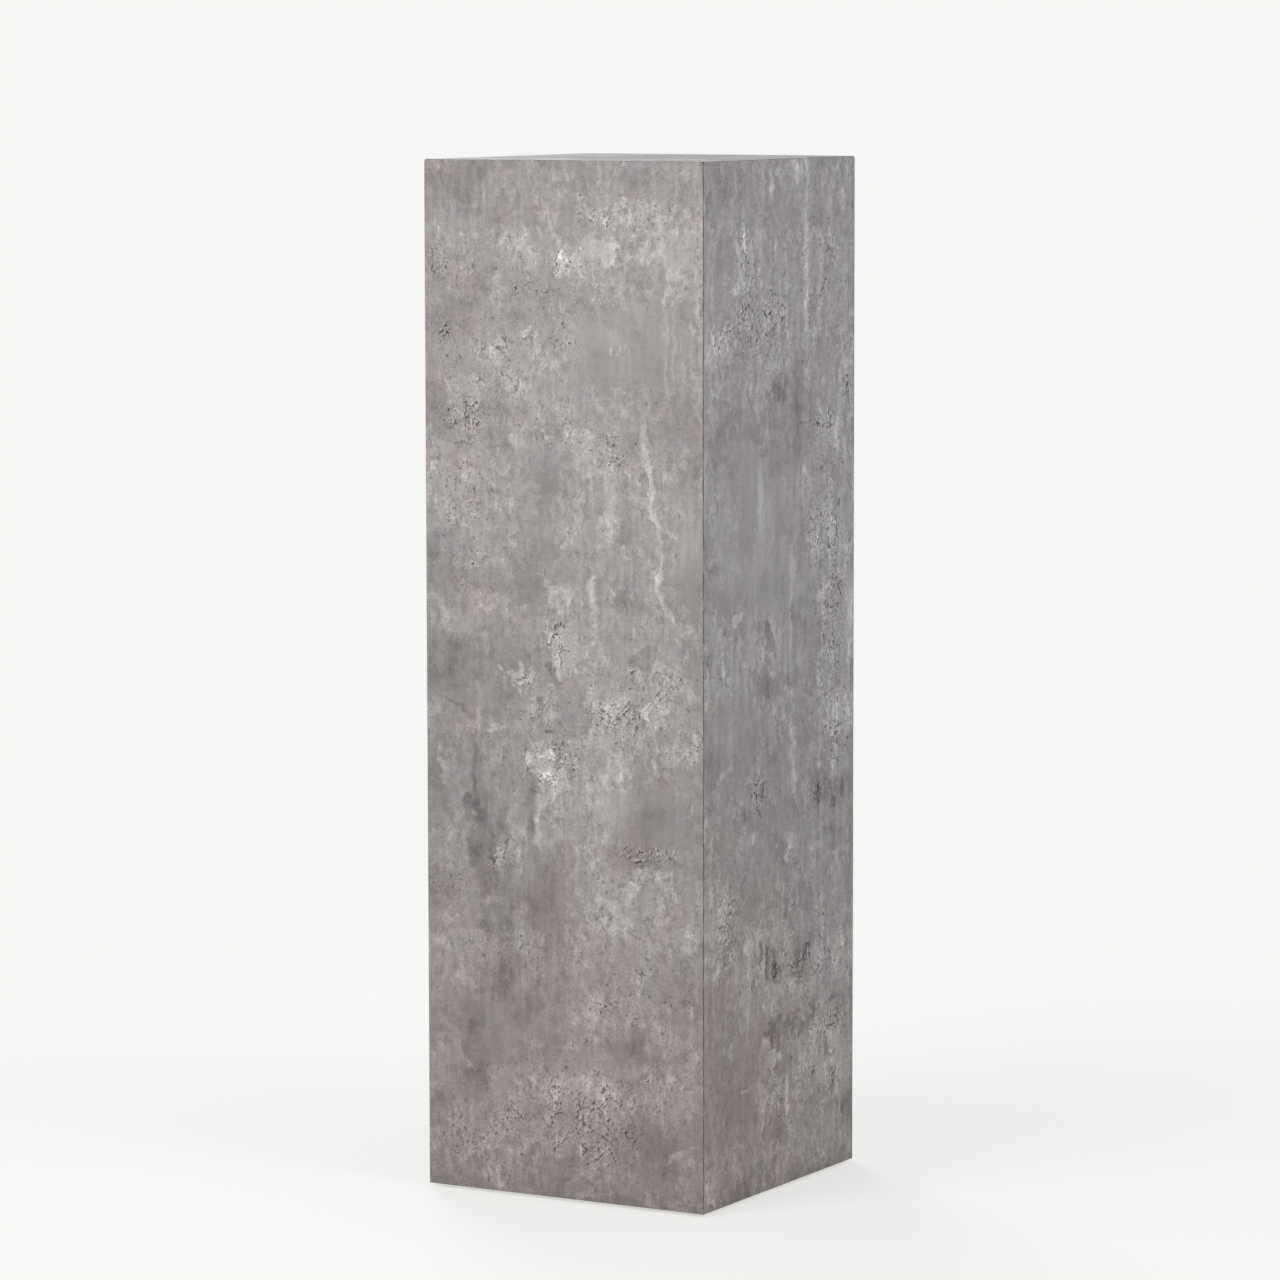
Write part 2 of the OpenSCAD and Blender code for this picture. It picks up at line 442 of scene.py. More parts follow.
def chain(points: tuple[tuple[float, float], ...], half_width: float, tone: Tone) -> tuple[Patch, ...]:
    """Draw a wandering line as soft strokes that run into each other.

    Args:
        points: The places that it passes, as millimetres across and up.
        half_width: Half its width in millimetres.
        tone: How light or dark it is.

    Returns:
        The strokes.
    """
    strokes = []
    for (from_across, from_up), (to_across, to_up) in zip(points, points[1:]):
        run, rise = to_across - from_across, to_up - from_up
        stroke = Spot((from_across + to_across) / 2, (from_up + to_up) / 2, half_width,
                      math.hypot(run, rise) / 2, math.degrees(math.atan2(-run, rise)))
        strokes.append(Patch(stroke, tone, Rim.EASED))
    return tuple(strokes)


@dataclass(frozen=True)
class Layout:
    """Where a sheet's print has its features."""

    patches: tuple[Patch, ...]
    veins: tuple[Patch, ...]
    nests: tuple[Spot, ...]
    gritty: tuple[Spot, ...]
    calm: tuple[Spot, ...]

    def turned(self, onward: float) -> "Layout":
        """Lay the print out for a sheet that was cut the other way up and further along.

        Args:
            onward: How much further along, in millimetres.

        Returns:
            The turned layout.
        """
        patches, veins = (tuple(replace(part, spot=part.spot.turned(onward)) for part in parts)
                          for parts in (self.patches, self.veins))
        nests, gritty, calm = (tuple(spot.turned(onward) for spot in places)
                               for places in (self.nests, self.gritty, self.calm))
        return Layout(patches, veins, nests, gritty, calm)


def front_layout() -> Layout:
    """Give the front sheet's print, as it is seen from the front left.

    Returns:
        Its layout.
    """
    patches = (
        *marks(Tone.BRIGHT, Rim.TORN, (158, 904, 13, 8), (99, 506, 17, 10), (139, 416, 11, 25, 38)),
        *marks(Tone.LIGHT, Rim.TORN, (208, 952, 26, 9), (180, 724, 20, 22), (216, 630, 9, 5),
               (160, 533, 23, 19), (253, 476, 13, 12), (134, 396, 10, 18)),
        *marks(Tone.LIGHT, Rim.EASED, (276, 918, 26, 26), (190, 912, 26, 16), (46, 774, 20, 14),
               (200, 490, 20, 18), (202, 462, 18, 18), (297, 262, 14, 20), (180, 190, 14, 24)),
        *marks(Tone.LIGHT, Rim.CLOUDY, (182, 918, 40, 18), (174, 888, 26, 16), (26, 567, 26, 20),
               (206, 426, 22, 34), (232, 290, 56, 34), (160, 112, 62, 20)),
        *marks(Tone.PALE, Rim.TORN, (165, 597, 18, 12), (154, 585, 22, 12)),
        *marks(Tone.PALE, Rim.EASED, (222, 878, 16, 12), (288, 887, 16, 16), (180, 836, 28, 18),
               (21, 711, 16, 14), (66, 710, 16, 14), (165, 698, 16, 20), (195, 660, 14, 12),
               (77, 568, 16, 14), (110, 735, 12, 16), (164, 556, 14, 12), (156, 530, 14, 14),
               (224, 492, 14, 14), (292, 474, 12, 16), (209, 418, 14, 14), (236, 246, 24, 18),
               (86, 56, 14, 14), (221, 222, 20, 14), (16, 10, 18, 12), (286, 142, 14, 14),
               (208, 893, 16, 12), (157, 860, 16, 12), (192, 246, 14, 12), (162, 158, 14, 12),
               (242, 858, 16, 12), (112, 685, 14, 14), (188, 630, 12, 14), (29, 411, 12, 14),
               (169, 9, 18, 10), (48, 238, 14, 12), (171, 992, 20, 10), (56, 762, 12, 12),
               (268, 561, 12, 12), (288, 42, 16, 14)),
        *marks(Tone.PALE, Rim.CLOUDY, (110, 915, 18, 22), (92, 812, 42, 24), (30, 244, 24, 28)),
        *marks(Tone.DIM, Rim.EASED, (34, 956, 22, 14), (246, 922, 16, 14), (38, 846, 26, 16),
               (10, 765, 16, 20), (138, 682, 11, 42), (50, 677, 18, 18), (146, 512, 14, 12),
               (218, 640, 14, 24), (262, 370, 42, 24), (262, 290, 22, 16), (72, 170, 20, 18),
               (136, 274, 18, 18), (144, 225, 16, 34), (228, 10, 20, 12), (25, 108, 14, 14),
               (298, 444, 10, 16), (78, 345, 12, 14), (8, 304, 12, 16), (237, 972, 16, 12),
               (100, 931, 16, 12), (298, 206, 10, 16), (211, 547, 14, 14), (103, 285, 14, 12),
               (83, 847, 14, 12), (199, 50, 16, 14), (61, 426, 14, 14), (8, 368, 12, 16),
               (149, 518, 12, 12), (145, 248, 16, 16), (124, 634, 14, 14), (208, 274, 16, 14),
               (60, 880, 30, 14), (194, 176, 12, 12), (297, 538, 10, 18), (297, 668, 10, 18),
               (8, 963, 12, 18), (84, 242, 16, 16), (153, 298, 14, 18), (54, 296, 16, 14),
               (105, 296, 14, 14), (62, 967, 22, 12), (95, 785, 14, 14), (8, 893, 12, 22),
               (57, 534, 18, 12), (300, 195, 12, 20)),
        *marks(Tone.DIM, Rim.CLOUDY, (246, 972, 36, 14)),
        *marks(Tone.DARK, Rim.EASED, (96, 950, 26, 16), (12, 630, 18, 14), (141, 757, 18, 14),
               (230, 586, 14, 22), (240, 534, 16, 14), (115, 600, 18, 20), (8, 412, 14, 36),
               (85, 480, 12, 13), (70, 352, 22, 44), (58, 352, 14, 32), (76, 308, 24, 24),
               (250, 334, 44, 7), (262, 147, 20, 16), (128, 312, 20, 34), (76, 208, 24, 24),
               (52, 137, 14, 46), (14, 78, 18, 24), (60, 35, 20, 12), (103, 44, 14, 12), (102, 204, 22, 32),
               (44, 368, 14, 14), (220, 160, 20, 14)),
        *marks(Tone.DARK, Rim.CLOUDY, (35, 980, 34, 18), (296, 716, 12, 26), (44, 514, 58, 26),
               (61, 420, 20, 30), (144, 33, 30, 14)),
        *marks(Tone.DEEP, Rim.EASED, (76, 268, 26, 15, 32)),
        *marks(Tone.DEEP, Rim.CLOUDY, (248, 58, 30, 24)),
    )
    seep = ((244, 786), (243, 745), (246, 705))
    vein = ((246, 712), (250, 674), (257, 656), (255, 634), (260, 618), (255, 598), (264, 578), (276, 564))
    arc = ((16, 736), (32, 747), (48, 752), (64, 762), (86, 767))
    veins = (
        *chain(seep, 4.0, Tone.LIGHT),
        *chain(vein, 3.4, Tone.BRIGHT),
        *chain(arc, 1.3, Tone.DARK),
        *chain(((256, 658), (267, 650), (281, 648)), 3.2, Tone.LIGHT),
        *marks(Tone.BRIGHT, Rim.EASED, (127, 354, 4, 11), (82, 333, 5, 13), (206, 823, 1.3, 4),
               (213, 822, 1.2, 5), (220, 824, 1.2, 4)),
        *marks(Tone.BRIGHT, Rim.CLOUDY, (207, 678, 7, 32), (280, 57, 18, 2.2, 24)),
        *marks(Tone.LIGHT, Rim.EASED, (81, 429, 4, 7), (77, 455, 10, 4), (298, 452, 8, 12),
               (290, 500, 9, 7, -30)),
        *marks(Tone.LIGHT, Rim.CLOUDY, (186, 585, 3.5, 26, 6), (266, 850, 1.8, 52), (273, 838, 1.6, 40)),
        *marks(Tone.PALE, Rim.CLOUDY, (279, 830, 1.4, 28), (162, 170, 3, 44)),
        *marks(Tone.DIM, Rim.CLOUDY, (171, 345, 3, 44)),
        *marks(Tone.DARK, Rim.CLOUDY, (54, 412, 3, 44), (84, 727, 12, 0.9)),
        *marks(Tone.DEEP, Rim.EASED, (117, 380, 6, 26), (45, 382, 8, 7)),
        *marks(Tone.DEEP, Rim.CLOUDY, (30, 478, 17, 1.8, -24), (38, 728, 14, 1.1)),
    )
    nests = spots((160, 905, 22, 12), (18, 905, 14, 22), (205, 950, 30, 10), (115, 878, 18, 10),
                  (24, 832, 12, 12), (150, 830, 12, 12), (50, 755, 36, 18), (207, 722, 12, 18),
                  (150, 540, 18, 24), (115, 505, 24, 10), (210, 470, 34, 20), (145, 420, 22, 26),
                  (85, 333, 12, 16), (20, 300, 24, 7), (245, 343, 40, 8), (143, 85, 13, 46),
                  (190, 80, 44, 44, 30), (92, 72, 10, 22), (112, 78, 20, 7), (195, 195, 22, 8),
                  (298, 452, 12, 14))
    gritty = spots((55, 830, 70, 90), (45, 660, 50, 80), (150, 860, 50, 34), (160, 735, 40, 30),
                   (240, 480, 70, 50), (130, 450, 50, 60), (100, 245, 60, 50), (245, 215, 60, 40),
                   (60, 60, 70, 44), (200, 90, 90, 70))
    calm = spots((225, 830, 70, 42), (128, 680, 18, 36), (294, 640, 20, 60), (245, 378, 48, 26),
                 (140, 300, 26, 20), (80, 165, 30, 24))
    return Layout(patches, veins, nests, gritty, calm)


def right_layout() -> Layout:
    """Give the right sheet's print, as it is seen from the right.

    Returns:
        Its layout.
    """
    patches = (
        *marks(Tone.BRIGHT, Rim.TORN, (64, 568, 9, 9)),
        *marks(Tone.BRIGHT, Rim.EASED, (8, 22, 16, 20)),
        *marks(Tone.BRIGHT, Rim.CLOUDY, (26, 828, 24, 17)),
        *marks(Tone.LIGHT, Rim.TORN, (243, 582, 13, 16), (276, 454, 30, 26), (175, 340, 10, 12),
               (168, 196, 24, 10)),
        *marks(Tone.LIGHT, Rim.EASED, (244, 732, 26, 12), (168, 22, 14, 12), (160, 992, 20, 10),
               (290, 812, 14, 20), (242, 510, 12, 34), (239, 220, 18, 14), (140, 186, 14, 10),
               (127, 135, 4, 12), (144, 134, 6, 12), (116, 98, 18, 16)),
        *marks(Tone.LIGHT, Rim.CLOUDY, (282, 897, 20, 24), (42, 648, 20, 32), (292, 560, 12, 60),
               (18, 280, 26, 32), (280, 204, 20, 22)),
        *marks(Tone.PALE, Rim.EASED, (205, 10, 16, 10), (8, 8, 14, 10), (120, 100, 12, 12),
               (71, 276, 14, 12), (172, 226, 10, 14), (258, 556, 12, 14), (233, 656, 12, 14),
               (52, 157, 14, 14), (231, 93, 12, 12), (283, 126, 12, 12), (213, 54, 12, 12),
               (273, 676, 12, 12), (54, 786, 16, 12), (52, 612, 34, 14), (50, 670, 14, 12),
               (147, 678, 14, 16), (8, 804, 12, 14), (184, 986, 28, 12), (284, 850, 16, 16),
               (62, 882, 22, 12), (45, 950, 16, 8), (225, 712, 18, 12), (120, 645, 12, 42),
               (264, 660, 20, 28), (264, 525, 14, 20), (242, 640, 14, 20), (157, 622, 14, 20),
               (90, 350, 16, 14), (90, 250, 14, 16), (183, 252, 12, 12), (114, 132, 12, 14),
               (206, 80, 14, 14), (235, 98, 18, 14), (210, 36, 22, 18), (282, 122, 18, 18),
               (168, 26, 20, 14), (84, 70, 18, 12), (190, 190, 14, 14)),
        *marks(Tone.PALE, Rim.CLOUDY, (95, 850, 60, 30), (262, 120, 44, 46), (250, 105, 22, 16)),
        *marks(Tone.DIM, Rim.EASED, (54, 842, 18, 14), (252, 940, 22, 20), (28, 770, 24, 8, -20),
               (159, 862, 16, 14), (193, 625, 12, 20), (122, 553, 12, 12), (230, 757, 14, 10),
               (297, 616, 12, 24), (95, 440, 22, 18), (61, 428, 18, 16), (266, 426, 18, 10),
               (297, 355, 12, 26), (297, 285, 12, 36), (172, 268, 7, 22), (190, 218, 12, 14),
               (163, 122, 14, 12), (143, 60, 18, 14), (131, 27, 16, 12)),
        *marks(Tone.DIM, Rim.CLOUDY, (155, 370, 30, 14), (52, 112, 60, 60), (30, 905, 22, 20)),
        *marks(Tone.DARK, Rim.TORN, (240, 545, 12, 14)),
        *marks(Tone.DARK, Rim.EASED, (154, 788, 24, 12), (26, 958, 16, 18), (118, 744, 40, 10, 6),
               (20, 738, 26, 24), (190, 542, 24, 14), (265, 68, 14, 12), (134, 60, 14, 12),
               (155, 121, 12, 12), (147, 337, 12, 12), (270, 348, 14, 12), (197, 156, 12, 12),
               (172, 507, 20, 16), (191, 564, 16, 18), (230, 398, 16, 12), (35, 214, 20, 22),
               (177, 380, 16, 14), (76, 373, 18, 16), (156, 290, 24, 16), (274, 328, 20, 14),
               (204, 284, 16, 14), (168, 318, 14, 12), (206, 154, 18, 12), (297, 34, 14, 40),
               (89, 10, 22, 12), (217, 170, 9, 12)),
        *marks(Tone.DARK, Rim.CLOUDY, (10, 432, 16, 30), (256, 378, 44, 16)),
        *marks(Tone.DEEP, Rim.TORN, (134, 543, 12, 14), (152, 156, 30, 11)),
        *marks(Tone.DEEP, Rim.EASED, (138, 772, 24, 10, 42), (122, 501, 28, 17), (140, 224, 12, 22)),
    )
    veins = (
        *marks(Tone.BRIGHT, Rim.EASED, (131, 974, 5, 18), (168, 92, 5, 24)),
        *marks(Tone.BRIGHT, Rim.CLOUDY, (205, 915, 5, 62), (178, 424, 6, 34), (183, 386, 2.2, 12, 20),
               (158, 292, 2.4, 16)),
        *marks(Tone.LIGHT, Rim.EASED, (80, 925, 4, 28), (112, 688, 6, 26), (178, 605, 8, 14)),
        *marks(Tone.LIGHT, Rim.CLOUDY, (112, 920, 5, 26), (222, 326, 3, 36), (234, 430, 2.5, 40),
               (173, 560, 2.2, 46), (36, 414, 20, 2.2, 32), (88, 110, 12, 1.4), (205, 960, 1.6, 30)),
        *marks(Tone.PALE, Rim.EASED, (176, 52, 4, 20)),
        *marks(Tone.PALE, Rim.CLOUDY, (98, 783, 24, 2.0, -32), (78, 240, 1.6, 60), (20, 205, 1.6, 34),
               (55, 70, 34, 1.4, -40)),
        *marks(Tone.DIM, Rim.CLOUDY, (125, 945, 40, 1.2, 6)),
        *marks(Tone.DARK, Rim.EASED, (134, 424, 7, 6), (186, 170, 14, 3), (290, 60, 7, 18)),
        *marks(Tone.DARK, Rim.CLOUDY, (188, 760, 7, 60)),
        *marks(Tone.DEEP, Rim.TORN, (234, 374, 3, 20), (262, 366, 7, 6), (282, 378, 5, 10),
               (112, 236, 4, 13), (126, 230, 4, 20), (140, 222, 4, 14), (192, 230, 3, 16),
               (206, 222, 5, 14), (216, 236, 3, 10), (262, 174, 10, 4), (217, 170, 6, 11),
               (250, 128, 5, 12), (220, 104, 4, 9), (264, 92, 4, 16)),
        *marks(Tone.DEEP, Rim.EASED, (117, 394, 3, 9, -16)),
    )
    nests = spots((85, 845, 36, 36), (140, 850, 26, 32), (80, 915, 9, 22), (30, 832, 20, 14),
                  (290, 775, 10, 14), (240, 740, 36, 16), (245, 640, 34, 34), (265, 560, 22, 60),
                  (268, 440, 30, 36), (110, 390, 18, 24), (232, 385, 26, 14), (45, 270, 26, 40),
                  (215, 215, 50, 24), (255, 150, 46, 14), (134, 226, 14, 20), (258, 100, 12, 26),
                  (219, 104, 7, 12))
    gritty = spots((100, 860, 70, 60), (235, 890, 60, 80), (255, 580, 44, 190), (110, 400, 50, 40),
                   (215, 215, 100, 80), (50, 270, 44, 60), (200, 100, 110, 60))
    calm = spots((110, 655, 90, 90), (30, 900, 18, 30), (190, 560, 38, 60), (60, 450, 50, 50),
                 (160, 365, 30, 20), (140, 162, 40, 10))
    return Layout(patches, veins, nests, gritty, calm)


def top_layout() -> Layout:
    """Give the top sheet's print, as it is seen from above the front.

    Returns:
        Its layout.
    """
    patches = (
        *marks(Tone.BRIGHT, Rim.TORN, (236, 98, 12, 20, 30)),
        *marks(Tone.LIGHT, Rim.TORN, (52, 246, 18, 9), (150, 262, 16, 10)),
        *marks(Tone.LIGHT, Rim.CLOUDY, (70, 215, 44, 30), (210, 80, 50, 28)),
        *marks(Tone.PALE, Rim.CLOUDY, (262, 236, 30, 24), (262, 60, 44, 50), (200, 200, 110, 100),
               (150, 30, 150, 30), (118, 50, 60, 30)),
        *marks(Tone.DIM, Rim.CLOUDY, (160, 170, 46, 22, -20), (38, 96, 26, 34), (60, 286, 40, 16)),
        *marks(Tone.DARK, Rim.EASED, (150, 180, 18, 9)),
    )
    vein = ((96, 300), (108, 268), (104, 236), (118, 208), (132, 196))
    veins = (
        *chain(vein, 3.0, Tone.LIGHT),
        *marks(Tone.LIGHT, Rim.CLOUDY, (190, 130, 2.4, 30, -24)),
        *marks(Tone.DEEP, Rim.CLOUDY, (60, 150, 22, 1.6, 12)),
    )
    nests = spots((236, 96, 20, 24, 30), (52, 240, 26, 12), (120, 108, 24, 12), (272, 40, 18, 24),
                  (30, 40, 14, 18), (180, 240, 18, 10))
    gritty = spots((220, 90, 70, 60), (70, 230, 60, 50), (60, 50, 50, 40))
    calm = spots((170, 170, 50, 24, -20), (262, 200, 36, 40), (120, 30, 30, 18))
    return Layout(patches, veins, nests, gritty, calm)


@dataclass(frozen=True)
class Speckle:
    """The print's small features: sizes in millimetres, depths in levels of 255, and spans of noises."""

    mottle_size: float = 7.5
    mottle_depth: float = 98.0
    mottle_tallness: float = 1.25
    mottle_share: float = 0.85
    flake_size: float = 24.0
    flake_depth: float = 8.0
    flake_tallness: float = 1.4
    flake_edge: Numbers = (0.55, 0.585)
    grain_size: float = 2.5
    grain_depth: float = 106.0
    grain_share: float = 0.82
    pit_size: float = 2.8
    pit_depth: float = 72.0
    pit_tallness: float = 1.2
    pit_crowding: float = 0.24
    pit_span: Numbers = (0.82, 0.93)
    grit_size: float = 8.0
    grit_depth: float = 44.0
    grit_variety: float = -0.44
    grit_span: Numbers = (-0.20, -0.26)
    grit_share: float = 0.7
    outline_size: float = 4.0
    outline_depth: float = 26.0
    outline_tallness: float = 1.25
    outline_level: float = 10.0
    outline_span: Numbers = (2.6, 0.4)
    outline_gaps: Numbers = (0.46, 0.62)
    crack_size: float = 26.0
    crack_width: float = 1.3
    crack_gaps: Numbers = (0.36, 0.56, 0.15, 1.0)
    crack_zone: Numbers = (0.35, 0.8)
    rim_shift: float = 1.1
    rim_share: float = 0.4
    drip_width: float = 5.0
    drip_length: float = 60.0
    drip_depth: float = 28.0
    drip_least: float = 0.2
    drip_span: Numbers = (0.44, 0.60)
    tallness: float = 1.2


@dataclass(frozen=True)
class Ground:
    """One point of a face, in millimetres, as the features of different sizes read it.

    It is the true place, the same on the whole cloth of print, and both again with the shifts that
    make the edges of patches, nests, veins, flakes and drips uneven.
    """

    flat: Socket
    cloth: Socket
    worn: Socket
    strewn: Socket
    fine: Socket
    loose: Socket
    dripping: Socket


@dataclass(frozen=True)
class Wear:
    """How bare, busy, gritty and rough one point of a face is, each from 0 to 1."""

    bare: Socket
    busy: Socket
    gritty: Socket
    rough: Socket


@dataclass(frozen=True)
class ConcreteDecor:
    """The printed concrete of one sheet, all sizes in millimetres and all depths in levels of 255."""

    face: Face
    layout: Layout
    seed: float
    coolness: float = 0.0
    # How far the cool and warm blends by height lean across the face; the warm one is painted warm light
    # from the floor.
    warm_lean: float = 0.0
    small: Speckle = Speckle()
    mean_level: float = 153.0
    darkest_share: float = 0.1
    drift_size: float = 42.0
    drift_reach: float = 44.0
    ragged_size: float = 11.0
    ragged_reach: float = 40.0
    strewn_share: float = 0.6
    fine_share: float = 0.3
    dripping_share: float = 0.2
    cloud_size: float = 80.0
    cloud_tallness: float = 1.3
    cloud_depth: float = 46.0
    thickness: Numbers = (0.36, 0.64, 0.75, 1.5)
    unevenness: Numbers = (0.44, 0.60)
    nest_fade: Numbers = (0.3, 1.8)
    calm_fade: Numbers = (0.7, 1.25)
    gritty_fade: Numbers = (0.4, 1.4)
    bareness: Numbers = (-16.0, 6.0, 0.4, 1.0)
    busy_share: float = 0.65
    nest_share: float = 0.35
    sprinkle: Numbers = (0.36, 0.30)
    # Painted shade along the foot of an upright sheet, and a darker band along its upper edge.
    foot_reach: float = 36.0
    foot_shade_depth: float = 15.0
    head_reach: float = 45.0
    head_depth: float = 7.0
    gloss: Numbers = (-30.0, 30.0, 0.74, 0.64)
    specular: float = 0.25
    relief: float = 0.00004

    def ground(self, g: Graph) -> Ground:
        """Find the place on the face, and shift it for each kind of feature.

        Args:
            g: The material's nodes.

        Returns:
            The places, in millimetres across and up.
        """
        metres = g.object_place()
        joined = g.node("ShaderNodeCombineXYZ")
        half = FACE_WIDTH / 2
        ways = (self.face.across, self.face.up)
        starts = (half, half if self.face is Face.TOP else 0.0)
        for socket, way, start in zip(joined.inputs, ways, starts):
            along = g.vector("DOT_PRODUCT", metres, tuple(way))
            g.feed(socket, g.math("MULTIPLY_ADD", along, PER_METRE, start))
        flat = joined.outputs[0]
        cloth = g.vector("ADD", flat, (self.seed, self.seed, 0.0))
        drift = self.drift(g, cloth, self.drift_size, self.drift_reach, Layers.TWO_ROUGH)
        ragged = self.drift(g, cloth, self.ragged_size, self.ragged_reach, Layers.FOUR_ROUGH)
        moved = g.vector("ADD", drift, ragged)
        shifts = ((flat, moved, 1.0), (flat, moved, self.strewn_share), (flat, moved, self.fine_share),
                  (cloth, ragged, self.fine_share), (cloth, ragged, self.dripping_share))
        return Ground(flat, cloth, *(g.vector("ADD", start, g.vector("SCALE", shift, share))
                                     for start, shift, share in shifts))

    def drift(self, g: Graph, place: Feed, size: float, reach: float, layers: Layers) -> Socket:
        """Find how far points move, so that a shape drawn with them has an uneven edge.

        Args:
            g: The material's nodes.
            place: The place in millimetres.
            size: Size of the unevenness.
            reach: How far points move at most.
            layers: Layers of the unevenness.

        Returns:
            How far each point moves, as a vector in millimetres.
        """
        colour = g.noise(g.sized(place, size), layers, colour=True)
        centred = g.vector("SUBTRACT", colour, (NOISE_MIDDLE, NOISE_MIDDLE, NOISE_MIDDLE))
        return g.vector("MULTIPLY", centred, (reach, reach, 0.0))

    def zone(self, g: Graph, place: Feed, places: tuple[Spot, ...], fade: Numbers) -> Socket:
        """Mark the places that lie in any of some spots.

        Args:
            g: The material's nodes.
            place: The place in millimetres.
            places: The spots.
            fade: Where the mark starts to fade and where it ends, in radii.

        Returns:
            1 inside, 0 outside, with an eased edge.
        """
        inner, outer = fade
        total: Feed = 0.0
        for spot in places:
            total = g.math("MAXIMUM", total, g.remap(spot.reach(g, place), outer, inner))
        return total

    def wear(self, g: Graph, at: Ground, large: Feed, flakes: Feed) -> Wear:
        """Find how worn each point is.

        Args:
            g: The material's nodes.
            at: The point.
            large: The tone of the large features, in levels.
            flakes: The noise of the plaster's flakes.

        Returns:
            The point's wear.
        """
        nests = self.zone(g, at.strewn, self.layout.nests, self.nest_fade)
        calm = self.zone(g, at.worn, self.layout.calm, self.calm_fade)
        gritty = self.zone(g, at.strewn, self.layout.gritty, self.gritty_fade)
        uneven = g.remap(flakes, *self.unevenness)
        bare = g.math("MULTIPLY", g.math("SUBTRACT", 1.0, calm), g.remap(large, *self.bareness))
        busy = g.math("MULTIPLY", bare, g.weakened(uneven, self.busy_share))
        sprinkled = g.math("MULTIPLY", busy, g.math("MULTIPLY_ADD", gritty, *self.sprinkle))
        nested = g.math("MULTIPLY", nests, g.weakened(uneven, self.nest_share))
        return Wear(bare, busy, gritty, g.math("MAXIMUM", nested, sprinkled))

    def broken(self, g: Graph, place: Feed, rough: Feed) -> Socket:
        """Draw the dark pits and crack lines of the rough places.

        Args:
            g: The material's nodes.
            place: The place in millimetres.
            rough: How rough each place is, 0 to 1.

        Returns:
            How dark each point is, 0 to 1.
        """
        small = self.small
        speck = g.noise(g.sized(place, small.pit_size, small.pit_tallness), Layers.ONE)
        pits = g.remap(g.math("MULTIPLY_ADD", rough, small.pit_crowding, speck), *small.pit_span)
        slabs = g.cells(g.sized(place, small.crack_size, small.tallness), feature="DISTANCE_TO_EDGE")
        line = g.remap(slabs.outputs["Distance"], small.crack_width / small.crack_size, 0.0)
        dotted = g.math("MULTIPLY", line, g.remap(speck, *small.crack_gaps))
        cracks = g.math("MULTIPLY", dotted, g.remap(rough, *small.crack_zone))
        return g.math("MAXIMUM", pits, cracks)

    def grit(self, g: Graph, place: Feed) -> Socket:
        """Strew single dark grains of varied size.

        Args:
            g: The material's nodes.
            place: The place in millimetres.

        Returns:
            How dark each point is, 0 to 1.
        """
        small = self.small
        cells = g.cells(g.sized(place, small.grit_size, small.pit_tallness))
        far, cell = cells.outputs["Distance"], cells.outputs["Color"]
        return g.remap(g.math("MULTIPLY_ADD", cell, small.grit_variety, far), *small.grit_span)

    def outline(self, g: Graph, place: Feed, large: Feed) -> Socket:
        """Draw the broken dark line where a skin of plaster ends.

        Args:
            g: The material's nodes.
            place: The place in millimetres.
            large: The tone of the large features, in levels.

        Returns:
            How dark each point is, 0 to 1.
        """
        small = self.small
        off = g.math("ABSOLUTE", g.math("SUBTRACT", large, small.outline_level))
        dots = g.noise(g.sized(place, small.outline_size, small.outline_tallness), Layers.TWO_ROUGH)
        return g.math("MULTIPLY", g.remap(off, *small.outline_span), g.remap(dots, *small.outline_gaps))

    def foot_shade_and_head_dimming(self, g: Graph, place: Feed, tone: Feed) -> Socket:
        """Darken an upright sheet's print along its upper edge, and paint shade on it where it meets the
        floor.

        Args:
            g: The material's nodes.
            place: The place in millimetres.
            tone: The tone so far, in levels.

        Returns:
            The new tone.
        """
        up = g.filled("ShaderNodeSeparateXYZ", place).outputs[1]
        # Painted shade along the foot of the sheet, where the floor meets it.
        foot_shade = g.remap(up, 0.0, self.foot_reach, -self.foot_shade_depth, 0.0)
        # A darker band along the upper edge.
        head = g.remap(up, FACE_HEIGHT - self.head_reach, FACE_HEIGHT, 0.0, -self.head_depth)
        return g.math("ADD", tone, g.math("ADD", foot_shade, head))

    def clouded(self, g: Graph, at: Ground, wear: Wear, clouds: Feed, tone: Feed) -> Socket:
        """Add the soft small features, mottles and drips, to the tone so far.

        Args:
            g: The material's nodes.
            at: The point.
            wear: Its wear.
            clouds: The noise of the large clouds, which drips follow.
            tone: The tone so far, in levels.

        Returns:
            The new tone.
        """
        small = self.small
        mottle = g.noise(g.sized(at.loose, small.mottle_size, small.tallness * small.mottle_tallness),
                         Layers.THREE_ROUGH)
        tone = g.varied(mottle, g.weakened(wear.busy, small.mottle_share, small.mottle_depth), tone)
        drips = g.noise(g.sized(at.dripping, small.drip_width, small.drip_length / small.drip_width),
                        Layers.ONE)
        depth = g.remap(clouds, *small.drip_span, small.drip_least * small.drip_depth, small.drip_depth)
        return g.varied(drips, depth, tone)

